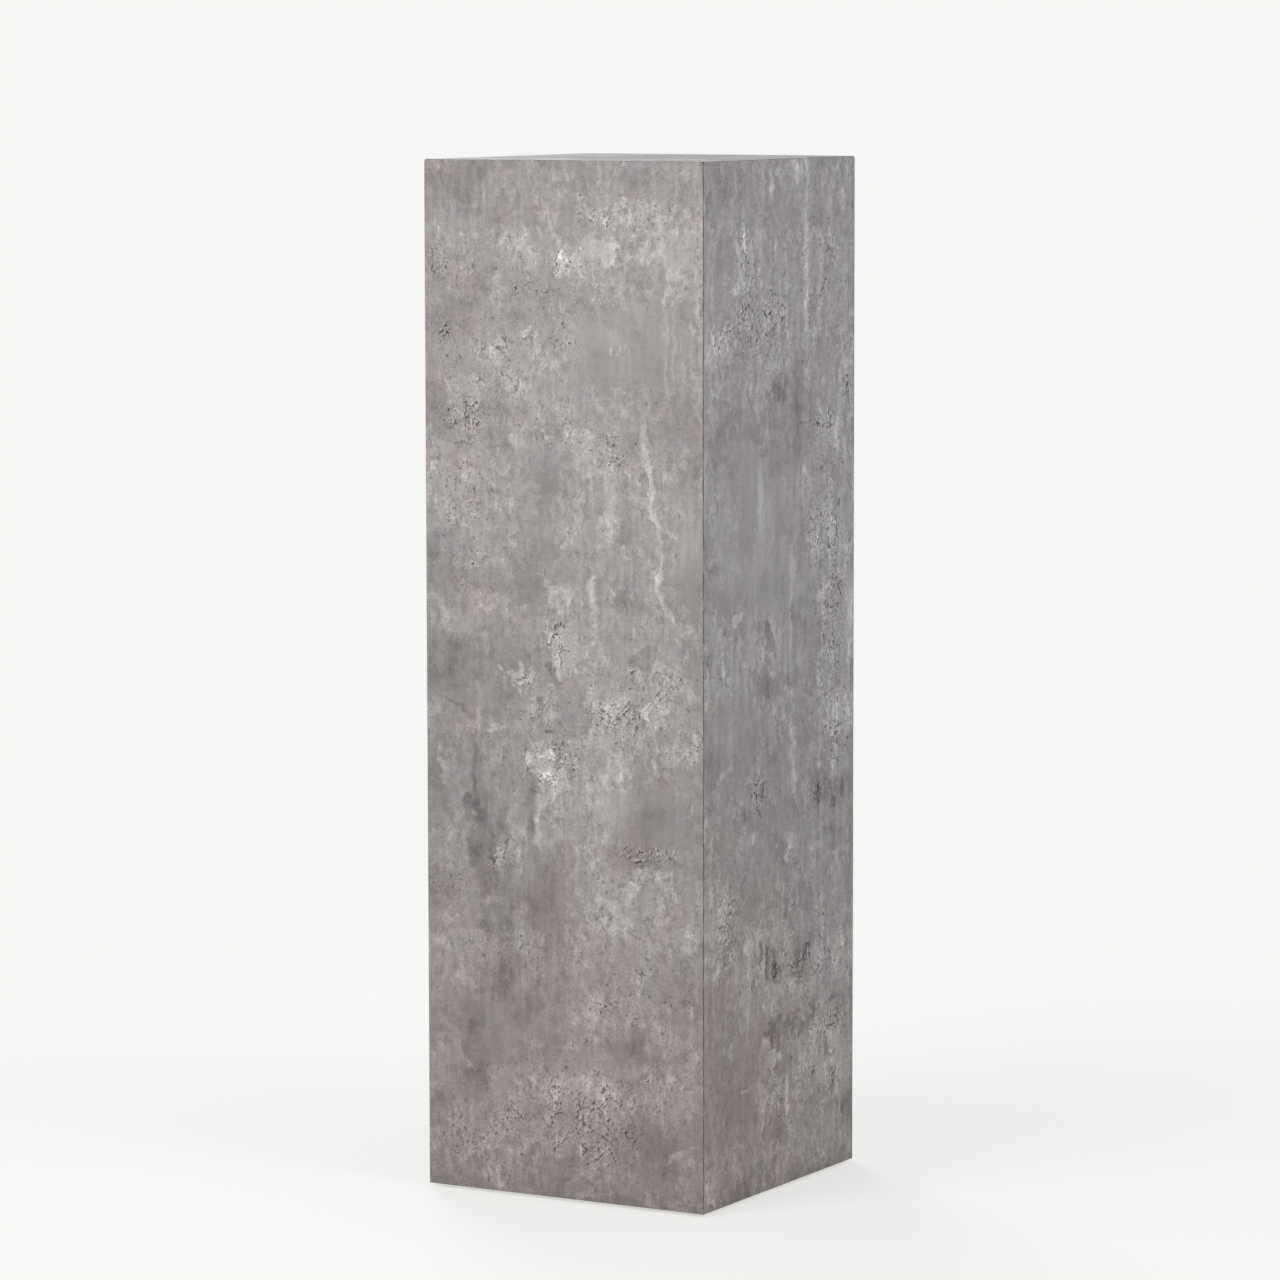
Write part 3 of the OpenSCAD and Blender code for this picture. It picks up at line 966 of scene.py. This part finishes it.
    def marred(self, g: Graph, at: Ground, wear: Wear, large: Feed, tone: Feed) -> Socket:
        """Add pits and cracks with their light rims, grit and plaster outlines to the tone so far.

        Args:
            g: The material's nodes.
            at: The point.
            wear: Its wear.
            large: The tone of the large features, in levels.
            tone: The tone so far, in levels.

        Returns:
            The new tone.
        """
        small = self.small
        dark = self.broken(g, at.loose, wear.rough)
        shifted = g.vector("ADD", at.loose, (small.rim_shift, -small.rim_shift, 0.0))
        light = g.math("MAXIMUM", g.math("SUBTRACT", self.broken(g, shifted, wear.rough), dark), 0.0)
        tone = g.math("MULTIPLY_ADD", dark, -small.pit_depth, tone)
        tone = g.math("MULTIPLY_ADD", light, small.rim_share * small.pit_depth, tone)
        strewn = g.math("MULTIPLY", self.grit(g, at.loose), g.weakened(wear.gritty, small.grit_share))
        grains = g.math("MULTIPLY", strewn, wear.bare)
        tone = g.math("MULTIPLY_ADD", grains, -small.grit_depth, tone)
        edges = g.math("MULTIPLY", self.outline(g, at.cloth, large), wear.bare)
        return g.math("MULTIPLY_ADD", edges, -small.outline_depth, tone)

    def make(self) -> bpy.types.Material:
        """Make the material.

        Returns:
            The material.
        """
        small = self.small
        g = material_graph(f"concrete_decor_{self.face.word}")
        at = self.ground(g)
        clouds = g.noise(g.sized(at.cloth, self.cloud_size, self.cloud_tallness), Layers.THREE_MILD)
        tone = g.varied(clouds, self.cloud_depth, 0.0)
        for part in self.layout.patches:
            tone = part.shade(g, at.worn, tone)
        for part in self.layout.veins:
            tone = part.shade(g, at.fine, tone)
        flakes = g.noise(g.sized(at.loose, small.flake_size, small.flake_tallness), Layers.FOUR_HARSH)
        large = g.math("MULTIPLY", tone, g.remap(flakes, *self.thickness))
        wear = self.wear(g, at, large, flakes)
        torn = g.math("MULTIPLY", g.remap(flakes, *small.flake_edge), wear.bare)
        tone = g.math("MULTIPLY_ADD", torn, small.flake_depth, large)
        tone = self.clouded(g, at, wear, clouds, tone)

        grain = g.noise(g.sized(at.cloth, small.grain_size, small.tallness), Layers.TWO_ROUGH)
        tone = g.varied(grain, g.weakened(wear.rough, small.grain_share, small.grain_depth), tone)
        tone = self.marred(g, at, wear, large, tone)
        # Painted shade along the foot of an upright sheet, and a darker band along its upper edge.
        if self.face is not Face.TOP:
            tone = self.foot_shade_and_head_dimming(g, at.flat, tone)

        share = g.math("MULTIPLY_ADD", tone, 1 / self.mean_level, 1.0)
        shade = g.math("POWER", g.math("MAXIMUM", share, self.darkest_share), SCREEN_GAMMA)
        colour = g.vector("SCALE", self.tint(g, at, large), shade)
        return g.finish(colour, g.remap(tone, *self.gloss), g.math("MULTIPLY", grain, self.relief),
                        Specular_IOR_Level=self.specular)

    def tint(self, g: Graph, at: Ground, large: Feed) -> Socket:
        """Colour the print: mauve grey in damp places, plain grey in plaster, cooler towards the top, and
        warmer towards the floor, which is painted light: the warm glow that the floor throws up.

        Args:
            g: The material's nodes.
            at: The point.
            large: The tone of the large features, in levels.

        Returns:
            The colour before light and dark.
        """
        mauve, plain, straw = paint(155, 147.5, 147.5), paint(155, 151, 150), paint(155, 151, 146)
        # The warm colour and its blend towards the floor are painted light, the warm glow that the floor
        # throws up.
        floor_glow_tint, cool = paint(155, 146, 143), paint(152, 150, 152)
        shift_size, shift_tallness, shift_height, shift_level = 46.0, 60 / 46, 300.0, 60.0
        straw_size, straw_tallness = 20.0, 1.35
        plaster_levels, straw_span, straw_share = (12.0, 44.0), (0.54, 0.68), 0.42
        cool_heights, floor_glow_heights, floor_glow_share = (440.0, 790.0), (560.0, 260.0), 0.75

        shifting = g.noise(g.sized(at.cloth, shift_size, shift_tallness), Layers.THREE_ROUGH)
        parts = g.filled("ShaderNodeSeparateXYZ", at.flat).outputs
        rise = g.math("MULTIPLY_ADD", parts[0], self.warm_lean, parts[1])
        if self.face is Face.TOP:
            rise = g.math("ADD", rise, FACE_HEIGHT)
        height = g.math("MULTIPLY_ADD", shifting, shift_height, rise)
        plastered = g.remap(g.math("MULTIPLY_ADD", shifting, shift_level, large), *plaster_levels)
        spotted = g.noise(g.sized(at.cloth, straw_size, straw_tallness), Layers.TWO)
        base = g.blend(plastered, mauve, plain)
        speckled = g.blend(g.remap(spotted, *straw_span, 0.0, straw_share), base, straw)
        chilled = g.blend(g.remap(height, *cool_heights, 0.0, self.coolness), speckled, cool)
        # The warm blend towards the floor is painted light, the warm glow that the floor throws up.
        return g.blend(g.remap(height, *floor_glow_heights, 0.0, floor_glow_share), chilled, floor_glow_tint)


@dataclass(frozen=True)
class SheetCore:
    """The dark core that shows on a sheet's trimmed edges, scraped lighter here and there."""

    dark: Numbers = paint(80, 75, 73)
    light: Numbers = paint(132, 126, 123)
    scrape_size: float = 22.0
    fleck_size: float = 2.5
    fleck_share: float = 0.35
    spread: Numbers = (0.60, 0.84)
    rough: Numbers = (0.3, 0.7, 0.55, 0.7)
    relief: float = 0.00005

    def make(self) -> bpy.types.Material:
        """Make the material.

        Returns:
            The material.
        """
        g = material_graph("laminate_core")
        scrape = g.body_noise(self.scrape_size, Layers.THREE_ROUGH)
        fleck = g.body_noise(self.fleck_size, Layers.TWO_ROUGH)
        both = g.math("MULTIPLY_ADD", fleck, self.fleck_share, scrape)
        colour = g.blend(g.remap(both, *self.spread), self.dark, self.light)
        return g.finish(colour, g.remap(fleck, *self.rough), g.math("MULTIPLY", fleck, self.relief))


@dataclass(frozen=True)
class CarcassBoard:
    """Fine wood-based board: a light brown of pressed fibres, with darker flecks."""

    dark: Numbers = paint(148, 116, 82)
    light: Numbers = paint(190, 158, 118)
    fibre_size: float = 1.2
    fibre_share: float = 0.7
    cloud_size: float = 60.0
    cloud_share: float = 0.6
    spread: Numbers = (0.4, 0.9)
    rough: Numbers = (0.3, 0.7, 0.7, 0.85)
    relief: float = 0.0001

    def make(self) -> bpy.types.Material:
        """Make the material.

        Returns:
            The material.
        """
        g = material_graph("carcass_board")
        fibre = g.body_noise(self.fibre_size, Layers.THREE_HARSH)
        cloud = g.body_noise(self.cloud_size, Layers.THREE)
        tone = g.math("MULTIPLY_ADD", cloud, self.cloud_share, g.math("MULTIPLY", fibre, self.fibre_share))
        colour = g.blend(g.remap(tone, *self.spread), self.dark, self.light)
        return g.finish(colour, g.remap(fibre, *self.rough), g.math("MULTIPLY", fibre, self.relief))


class Grain(Enum):
    """The axis that wood grain runs along."""

    ALONG_X = 0
    ALONG_Y = 1


@dataclass(frozen=True)
class PlainWood:
    """Sawn or turned wood with growth rings and pores that run along the piece."""

    name: str
    early: Numbers
    late: Numbers
    ring: float
    pore: float
    stretch: float = 18.0
    bend_size: float = 4.0
    bend_reach: float = 3.0
    ring_share: float = 0.6
    pore_share: float = 0.5
    spread: Numbers = (0.2, 0.9)
    rough: Numbers = (0.3, 0.7, 0.5, 0.65)
    relief: float = 0.0001

    def make(self, grain: Grain) -> bpy.types.Material:
        """Make the material.

        Args:
            grain: The axis that the grain runs along.

        Returns:
            The material.
        """
        g = material_graph(f"{self.name}_{grain.name.lower()}")
        squeeze = [PER_METRE] * 3
        squeeze[grain.value] /= self.stretch
        along = g.vector("MULTIPLY", g.object_place(), tuple(squeeze))
        bent = g.noise(g.vector("SCALE", along, 1 / (self.bend_size * self.ring)), Layers.TWO, solid=True)
        bend = g.vector("SCALE", (1.0, 1.0, 1.0), g.math("MULTIPLY", bent, self.bend_reach * self.ring))
        rings = g.filled("ShaderNodeTexWave", g.vector("ADD", along, bend), 1 / (2 * self.ring),
                         wave_type="RINGS", rings_direction="XYZ"[grain.value])
        pores = g.noise(g.vector("SCALE", along, 1 / self.pore), Layers.THREE_ROUGH, solid=True)
        ringed = g.math("MULTIPLY", rings.outputs["Fac"], self.ring_share)
        tone = g.math("MULTIPLY_ADD", pores, self.pore_share, ringed)
        colour = g.blend(g.remap(tone, *self.spread), self.early, self.late)
        return g.finish(colour, g.remap(pores, *self.rough), g.math("MULTIPLY", pores, self.relief))


@dataclass(frozen=True)
class FixingSteel:
    """Zinc-plated steel of screws and nails, faintly mottled."""

    dark: Numbers = paint(188, 189, 192)
    light: Numbers = paint(212, 212, 210)
    mottle_size: float = 0.8
    spread: Numbers = (0.35, 0.65)
    rough: Numbers = (0.3, 0.7, 0.28, 0.42)
    relief: float = 0.00002

    def make(self) -> bpy.types.Material:
        """Make the material.

        Returns:
            The material.
        """
        g = material_graph("fixing_steel")
        mottle = g.body_noise(self.mottle_size, Layers.THREE_ROUGH)
        colour = g.blend(g.remap(mottle, *self.spread), self.dark, self.light)
        return g.finish(colour, g.remap(mottle, *self.rough), g.math("MULTIPLY", mottle, self.relief),
                        Metallic=1.0)


@dataclass(frozen=True)
class GlidePlastic:
    """Black moulded plastic of the glides, with a fine moulded grain."""

    dark: Numbers = paint(34, 34, 35)
    light: Numbers = paint(48, 47, 46)
    grain_size: float = 0.5
    scuff_size: float = 5.0
    spread: Numbers = (0.5, 0.7)
    rough: Numbers = (0.35, 0.65, 0.38, 0.52)
    relief: float = 0.00004

    def make(self) -> bpy.types.Material:
        """Make the material.

        Returns:
            The material.
        """
        g = material_graph("glide_plastic")
        grain = g.body_noise(self.grain_size, Layers.TWO)
        scuffs = g.body_noise(self.scuff_size, Layers.FOUR_ROUGH)
        colour = g.blend(g.remap(scuffs, *self.spread), self.dark, self.light)
        return g.finish(colour, g.remap(scuffs, *self.rough), g.math("MULTIPLY", grain, self.relief))


def open_for_picking(piece: bpy.types.Object, kind: str) -> bpy.types.Mesh:
    """Make one piece the only one chosen, with nothing picked in it yet.

    Args:
        piece: The piece.
        kind: What code will pick: VERT, EDGE or FACE.

    Returns:
        Its mesh, whose parts can now be picked.
    """
    bpy.ops.object.select_all(action="DESELECT")
    piece.select_set(True)
    bpy.context.view_layer.objects.active = piece
    bpy.ops.object.mode_set(mode="EDIT")
    bpy.ops.mesh.select_mode(type=kind)
    bpy.ops.mesh.select_all(action="DESELECT")
    bpy.ops.object.mode_set(mode="OBJECT")
    return piece.data


def edit(operator: Callable[..., set[str]], **settings: object) -> None:
    """Run an operator of edit mode on what is picked.

    Args:
        operator: The operator.
        **settings: Its settings.
    """
    bpy.ops.object.mode_set(mode="EDIT")
    operator(**settings)
    bpy.ops.object.mode_set(mode="OBJECT")


@dataclass
class BakePlan:
    """How one upright or level sheet lies on its square bake map.

    Its print lies as large as fits, an upright sheet's in two halves side by side. Its back lies small
    above that, and its edges in wide lanes.
    """

    face: Face
    low: Vector
    high: Vector
    gap: float = 4.0 * MM
    lane_height: float = 7.0 * MM
    lane_magnifies: float = 5.0
    back_shrinks: float = 0.16
    bevel_facing: float = 0.3
    top_lanes: int = 4
    upright_lanes: int = 12
    lanes: dict[tuple[bool, bool, bool, int], int] = field(default_factory=dict)

    def __post_init__(self) -> None:
        """Find where each part of the map starts, and how large the map is."""
        across, up, outward = self.face.across, self.face.up, self.face.outward
        self.across_start = min(self.low.dot(across), self.high.dot(across))
        self.up_start = self.low.dot(up)
        self.outer = max(self.low.dot(outward), self.high.dot(outward))
        self.columns = 1 if self.face is Face.TOP else 2
        lane_count = self.top_lanes if self.face is Face.TOP else self.upright_lanes
        self.column_width = FACE_WIDTH * MM + self.gap
        self.column_height = (self.high.dot(up) - self.up_start) / self.columns
        self.back_width = self.back_shrinks * FACE_WIDTH * MM + self.gap
        self.lanes_start = self.column_height + 2 * self.gap
        self.side = max(self.columns * self.column_width + self.gap,
                        self.lanes_start + lane_count * self.lane_height,
                        self.lanes_start + self.back_shrinks * self.column_height + self.gap)

    def spot(self, polygon: bpy.types.MeshPolygon, point: Vector) -> Numbers:
        """Find where a corner of one of the sheet's faces lies on the map.

        Args:
            polygon: The face.
            point: Its corner.

        Returns:
            The place, as shares of the map's side.
        """
        face, normal = self.face, polygon.normal
        facing = normal.dot(face.outward)
        rise = polygon.center.dot(face.up) - self.up_start
        column = min(int(rise / self.column_height), self.columns - 1)
        across = point.dot(face.across) - self.across_start
        up = point.dot(face.up) - self.up_start - column * self.column_height
        if facing > SQUARE_ON:
            place = (self.gap + column * self.column_width + across, self.gap + up)
        elif facing < -SQUARE_ON:
            place = (self.side - self.gap - column * self.back_width - self.back_shrinks * across,
                     self.lanes_start + self.back_shrinks * up)
        else:
            level = abs(normal.dot(face.up)) > abs(normal.dot(face.across))
            onward = normal.dot(face.up if level else face.across) > 0
            key = (facing > self.bevel_facing, level, onward, 0 if level else column)
            lane = self.lanes.setdefault(key, len(self.lanes))
            depth = self.outer - point.dot(face.outward)
            place = (self.gap + (across if level else up),
                     self.lanes_start + lane * self.lane_height + self.lane_magnifies * depth)
        return tuple(length / self.side for length in place)


@dataclass
class LaminateSheet:
    """One sheet of laminate; an upright one is trimmed all round, with its two upper corners rounded."""

    decor: ConcreteDecor
    corner_radius: float = 3.0 * MM
    side_bevel: float = 0.5 * MM
    rim_bevel: float = 0.3 * MM
    corner_steps: int = 6
    smooth_angle: float = 40.0
    tolerance: float = 0.02 * MM

    @property
    def face(self) -> Face:
        """Give the face that the sheet covers."""
        return self.decor.face

    @property
    def node(self) -> str:
        """Give the CAD node that the sheet stands for."""
        return f"{self.face.word}_laminate"

    def build(self) -> bpy.types.Object:
        """Model the sheet.

        Returns:
            The sheet, at its place.
        """
        low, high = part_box(self.node)
        bpy.ops.object.select_all(action="DESELECT")
        bpy.ops.mesh.primitive_cube_add(size=1.0, location=(low + high) / 2, scale=high - low)
        bpy.ops.object.transform_apply(location=True, rotation=True, scale=True)
        sheet = bpy.context.object
        sheet.name = sheet.data.name = f"{self.face.word}_decor_sheet"
        if self.face is not Face.TOP:
            self.round_corners(sheet, high.z)
            self.ease_rim(sheet, low, high)
            self.halve(sheet, (low.z + high.z) / 2)
        self.lay_flat(sheet, low, high)
        return sheet

    def round_corners(self, sheet: bpy.types.Object, top: float) -> None:
        """Round the two upper corners, as seen from outside.

        Args:
            sheet: The sheet.
            top: Height of its upper edge.
        """
        mesh = open_for_picking(sheet, "EDGE")
        for edge in mesh.edges:
            first, second = (mesh.vertices[index].co for index in edge.vertices)
            through = abs((first - second).normalized().dot(self.face.outward)) > SQUARE_ON
            edge.select = through and (first + second).z / 2 > top - MM
        edit(bpy.ops.mesh.bevel, offset=self.corner_radius, offset_type="OFFSET",
             segments=self.corner_steps)

    def ease_rim(self, sheet: bpy.types.Object, low: Vector, high: Vector) -> None:
        """Trim the outer arris at a bevel, wider on upright edges that lie in the open.

        Args:
            sheet: The sheet.
            low: Its lowest corner.
            high: Its highest corner.
        """
        outward = self.face.outward
        outer = max(low.dot(outward), high.dot(outward))
        mesh = self.pick_front(sheet)
        edit(bpy.ops.mesh.inset, thickness=self.side_bevel, depth=0.0)
        inner = {index for polygon in mesh.polygons if polygon.select for index in polygon.vertices}
        ring = [vertex.index for vertex in mesh.vertices
                if abs(vertex.co.dot(outward) - outer) < self.tolerance and vertex.index not in inner]
        level = {vertex.index for vertex in mesh.vertices if self.at_level_edge(vertex.co, low, high)}
        for index in inner & level:
            towards = 1.0 if mesh.vertices[index].co.z > (low.z + high.z) / 2 else -1.0
            self.shift(sheet, [index], Vector((0.0, 0.0, towards * (self.side_bevel - self.rim_bevel))))
        self.shift(sheet, [index for index in ring if index in level], -outward * self.rim_bevel)
        if self.face in (Face.FRONT, Face.BACK):
            self.shift(sheet, [index for index in ring if index not in level], -outward * self.side_bevel)

    def pick_front(self, sheet: bpy.types.Object) -> bpy.types.Mesh:
        """Pick the faces that look straight outwards.

        Args:
            sheet: The sheet.

        Returns:
            Its mesh.
        """
        mesh = open_for_picking(sheet, "FACE")
        for polygon in mesh.polygons:
            polygon.select = polygon.normal.dot(self.face.outward) > SQUARE_ON
        return mesh

    def at_level_edge(self, point: Vector, low: Vector, high: Vector) -> bool:
        """Tell whether a point lies by the upper or lower edge and clear of the rounded corners.

        Args:
            point: The point.
            low: The sheet's lowest corner.
            high: Its highest corner.

        Returns:
            True by those edges.
        """
        near = 2 * self.side_bevel
        return point.z > high.z - near or point.z < low.z + near

    def shift(self, sheet: bpy.types.Object, points: list[int], by: Vector) -> None:
        """Move some points of a sheet.

        Args:
            sheet: The sheet.
            points: Their numbers.
            by: How far.
        """
        mesh = open_for_picking(sheet, "VERT")
        for index in points:
            mesh.vertices[index].select = True
        edit(bpy.ops.transform.translate, value=by)

    def halve(self, sheet: bpy.types.Object, height: float) -> None:
        """Cut all faces at a height, so that the print can be laid out in two halves.

        Args:
            sheet: The sheet.
            height: The height.
        """
        open_for_picking(sheet, "FACE")
        edit(bpy.ops.mesh.select_all, action="SELECT")
        edit(bpy.ops.mesh.bisect, plane_co=(0.0, 0.0, height), plane_no=(0.0, 0.0, 1.0))

    def lay_flat(self, sheet: bpy.types.Object, low: Vector, high: Vector) -> None:
        """Write the sheet's bake map.

        Args:
            sheet: The sheet.
            low: Its lowest corner.
            high: Its highest corner.
        """
        plan = BakePlan(self.face, low, high)
        mesh = sheet.data
        layer = mesh.uv_layers.new(name=BAKE_MAP)
        for polygon in mesh.polygons:
            for loop in polygon.loop_indices:
                point = mesh.vertices[mesh.loops[loop].vertex_index].co
                layer.data[loop].uv = plan.spot(polygon, point)

    def dress(self, sheet: bpy.types.Object, core: bpy.types.Material) -> None:
        """Lay the printed face and the dark core on the sheet, and hand it over.

        Args:
            sheet: The sheet.
            core: Material of its edges and back.
        """
        sheet.data.materials.append(core)
        sheet.data.materials.append(self.decor.make())
        self.pick_front(sheet)
        sheet.active_material_index = 1
        edit(bpy.ops.object.material_slot_assign)
        bpy.ops.object.shade_smooth_by_angle(angle=math.radians(self.smooth_angle))
        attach(sheet, BODY)
        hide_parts(self.node)
        LOG.info("%s: %d faces", sheet.name, len(sheet.data.polygons))


@dataclass
class Facing:
    """The five sheets of laminate that face the pedestal, those at the sides in a streakier print."""

    streaky: Speckle = Speckle(
        mottle_size=8.0, mottle_depth=104.0, grain_size=3.0, grain_depth=120.0, pit_size=3.2,
        pit_depth=76.0, pit_tallness=1.6, grit_size=12.0, grit_depth=32.0, drip_width=12.0,
        drip_length=70.0, drip_depth=48.0)

    def decors(self) -> tuple[ConcreteDecor, ...]:
        """Plan the print of every sheet.

        Returns:
            The prints.
        """
        front, right = front_layout(), right_layout()
        return (
            ConcreteDecor(Face.FRONT, front, seed=110.0),
            ConcreteDecor(Face.RIGHT, right, 470.0, coolness=0.55, warm_lean=0.8, small=self.streaky),
            ConcreteDecor(Face.BACK, front.turned(1180.0), seed=830.0),
            ConcreteDecor(Face.LEFT, right.turned(1340.0), 1310.0, coolness=0.4, warm_lean=0.4,
                          small=self.streaky),
            ConcreteDecor(Face.TOP, top_layout(), seed=1730.0, coolness=0.5),
        )

    def build(self) -> None:
        """Model and dress every sheet."""
        core = SheetCore().make()
        for decor in self.decors():
            sheet = LaminateSheet(decor)
            sheet.dress(sheet.build(), core)


@dataclass
class Carcass:
    """The boards and cleats under the laminate, and the dowels that join the walls."""

    board_nodes: tuple[str, ...] = ("front_board", "back_board", "left_board", "right_board", "top_board",
                                    "base_board", "middle_stiffener")
    levels: tuple[str, ...] = ("top", "base")
    pine: PlainWood = PlainWood("pine_cleat", paint(224, 190, 138), paint(198, 148, 92), ring=3.0, pore=0.5)
    beech: PlainWood = PlainWood("beech_dowel", paint(220, 184, 142), paint(196, 152, 110), ring=1.6,
                                 pore=0.35)

    def dress(self, nodes: dict[str, bpy.types.Object]) -> None:
        """Give every board, cleat and dowel its finish.

        Args:
            nodes: The CAD nodes by name.
        """
        board = CarcassBoard().make()
        for name in self.board_nodes:
            put(nodes[name], board)
        lengthwise, crosswise = self.pine.make(Grain.ALONG_X), self.pine.make(Grain.ALONG_Y)
        cuts = {"front": lengthwise, "back": lengthwise, "left": crosswise, "right": crosswise}
        for level in self.levels:
            for side, cut in cuts.items():
                put(nodes[f"{level}_cleat_{side}"], cut)
        put(nodes["wall_dowels"], self.beech.make(Grain.ALONG_Y))


@dataclass
class Fixings:
    """The screws and nails, and the glides that they hold."""

    steel_nodes: tuple[str, ...] = ("cleat_wall_screws", "top_board_screws", "base_board_screws",
                                    "glide_nails")
    glide_nodes: tuple[str, ...] = ("glide_front_left", "glide_front_right", "glide_back_left",
                                    "glide_back_right")

    def dress(self, nodes: dict[str, bpy.types.Object]) -> None:
        """Give every screw, nail and glide its finish.

        Args:
            nodes: The CAD nodes by name.
        """
        for names, material in ((self.steel_nodes, FixingSteel().make()),
                                (self.glide_nodes, GlidePlastic().make())):
            for name in names:
                put(nodes[name], material)


def put(node: bpy.types.Object, material: bpy.types.Material) -> None:
    """Give a CAD node its finish in every material slot.

    Args:
        node: The CAD node's object.
        material: The finish.
    """
    if not node.material_slots:
        node.data.materials.append(material)
    for slot in node.material_slots:
        slot.material = material
    LOG.info("%s: %s", node.name, material.name)


@dataclass(frozen=True)
class Lamp:
    """A soft square lamp, in metres and watts."""

    name: str
    spot: Numbers
    aim: Numbers
    side: float
    power: float

    def build(self) -> None:
        """Hang the lamp and turn it to what it lights."""
        data = bpy.data.lights.new(self.name, "AREA")
        data.shape = "SQUARE"
        data.size = self.side
        data.energy = self.power
        lamp = bpy.data.objects.new(self.name, data)
        lamp.visible_camera = False
        bpy.context.scene.collection.objects.link(lamp)
        lamp.location = self.spot
        lamp.rotation_euler = (Vector(self.aim) - Vector(self.spot)).to_track_quat("-Z", "Y").to_euler()


@dataclass
class Studio:
    """A plain pale floor and surround with soft light from above, all lengths in metres."""

    pale: Numbers = paint(246, 246, 244)
    white: Numbers = paint(255, 255, 255)
    floor_radius: float = 14.0
    floor_steps: int = 96
    shadow_share: float = 0.35
    shadow_reach: Numbers = (0.4, 1.5)
    floor_albedo: Numbers = (0.87, 0.87, 0.86, 1.0)
    bounce_albedo: Numbers = (0.42, 0.42, 0.42, 1.0)
    ambient: float = 0.5
    lamps: tuple[Lamp, ...] = (
        Lamp("key_lamp", spot=(-0.5, -1.6, 1.15), aim=(0.0, 0.0, 0.9), side=0.9, power=17.7),
        Lamp("side_lamp", spot=(2.0, -0.4, 1.4), aim=(0.0, 0.0, 0.9), side=1.0, power=18.3),
        Lamp("rear_lamp", spot=(-2.3, 2.3, 1.3), aim=(0.0, 0.0, 0.75), side=1.4, power=75.0),
    )

    def camera_share(self, g: Graph) -> Socket:
        """Mark what the camera sees, straight or in gloss and glass.

        Args:
            g: The nodes.

        Returns:
            1 for such rays and 0 for others.
        """
        path = g.node("ShaderNodeLightPath")
        seen = g.math("MAXIMUM", path.outputs["Is Camera Ray"], path.outputs["Is Glossy Ray"])
        return g.math("MAXIMUM", seen, path.outputs["Is Transmission Ray"])

    def floor_finish(self) -> bpy.types.Material:
        """Make the floor: pale to the eye with the object's shadow, and greyer to the light it throws back.

        Returns:
            The material.
        """
        g = material_graph("studio_floor")
        lit = g.filled("ShaderNodeBsdfDiffuse", self.floor_albedo)
        glow = g.filled("ShaderNodeEmission", self.pale)
        near = g.remap(g.vector("LENGTH", g.object_place()), *self.shadow_reach, self.shadow_share, 0.0)
        bounce = g.filled("ShaderNodeBsdfDiffuse", self.bounce_albedo)
        mixed = g.mix(self.camera_share(g), bounce, g.mix(near, glow, lit))
        return g.end("ShaderNodeOutputMaterial", mixed)

    def build_floor(self) -> None:
        """Lay the floor."""
        bpy.ops.object.select_all(action="DESELECT")
        bpy.ops.mesh.primitive_circle_add(vertices=self.floor_steps, radius=self.floor_radius,
                                          fill_type="NGON")
        floor = bpy.context.object
        floor.name = "studio_floor"
        floor.data.materials.append(self.floor_finish())

    def build_world(self) -> None:
        """Surround the scene with soft light that the camera sees as the pale ground."""
        world = bpy.data.worlds.new("studio_surround")
        bpy.context.scene.world = world
        g = Graph(world)
        soft = g.filled("ShaderNodeBackground", self.white, self.ambient)
        ground = g.filled("ShaderNodeBackground", self.pale)
        g.end("ShaderNodeOutputWorld", g.mix(self.camera_share(g), soft, ground))

    def build(self) -> None:
        """Set up floor, surround and lamps."""
        self.build_floor()
        self.build_world()
        for lamp in self.lamps:
            lamp.build()
        bpy.context.scene.view_settings.view_transform = "Standard"
        LOG.info("studio: floor, surround and %d lamps", len(self.lamps))


@dataclass
class PhotoCamera:
    """The camera that took the photograph, as its perspective shows, in metres, degrees and millimetres."""

    spot: Numbers = (2.6454, -4.6409, 1.1102)
    turn: float = 29.71
    tilt: float = 6.20
    roll: float = -0.09
    lens: float = 154.58
    sensor: float = 36.0
    level: float = 90.0

    def build(self) -> None:
        """Set the camera up and make it the scene's."""
        data = bpy.data.cameras.new("photo_camera")
        data.lens = self.lens
        data.sensor_width = self.sensor
        camera = bpy.data.objects.new("photo_camera", data)
        bpy.context.scene.collection.objects.link(camera)
        turned = Matrix.Identity(4)
        for angle, axis in ((self.turn, "Z"), (self.level - self.tilt, "X"), (self.roll, "Z")):
            turned = turned @ Matrix.Rotation(math.radians(angle), 4, axis)
        camera.matrix_world = Matrix.Translation(self.spot) @ turned
        bpy.context.scene.camera = camera
        LOG.info("camera: lens %.1f mm", self.lens)


def main() -> None:
    """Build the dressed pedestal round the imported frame."""
    logging.basicConfig(level=logging.INFO, format="%(name)s: %(message)s")
    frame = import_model()
    PhotoCamera().build()
    Studio().build()
    Facing().build()
    Carcass().dress(frame["nodes"])
    Fixings().dress(frame["nodes"])


if __name__ == "__main__":
    main()
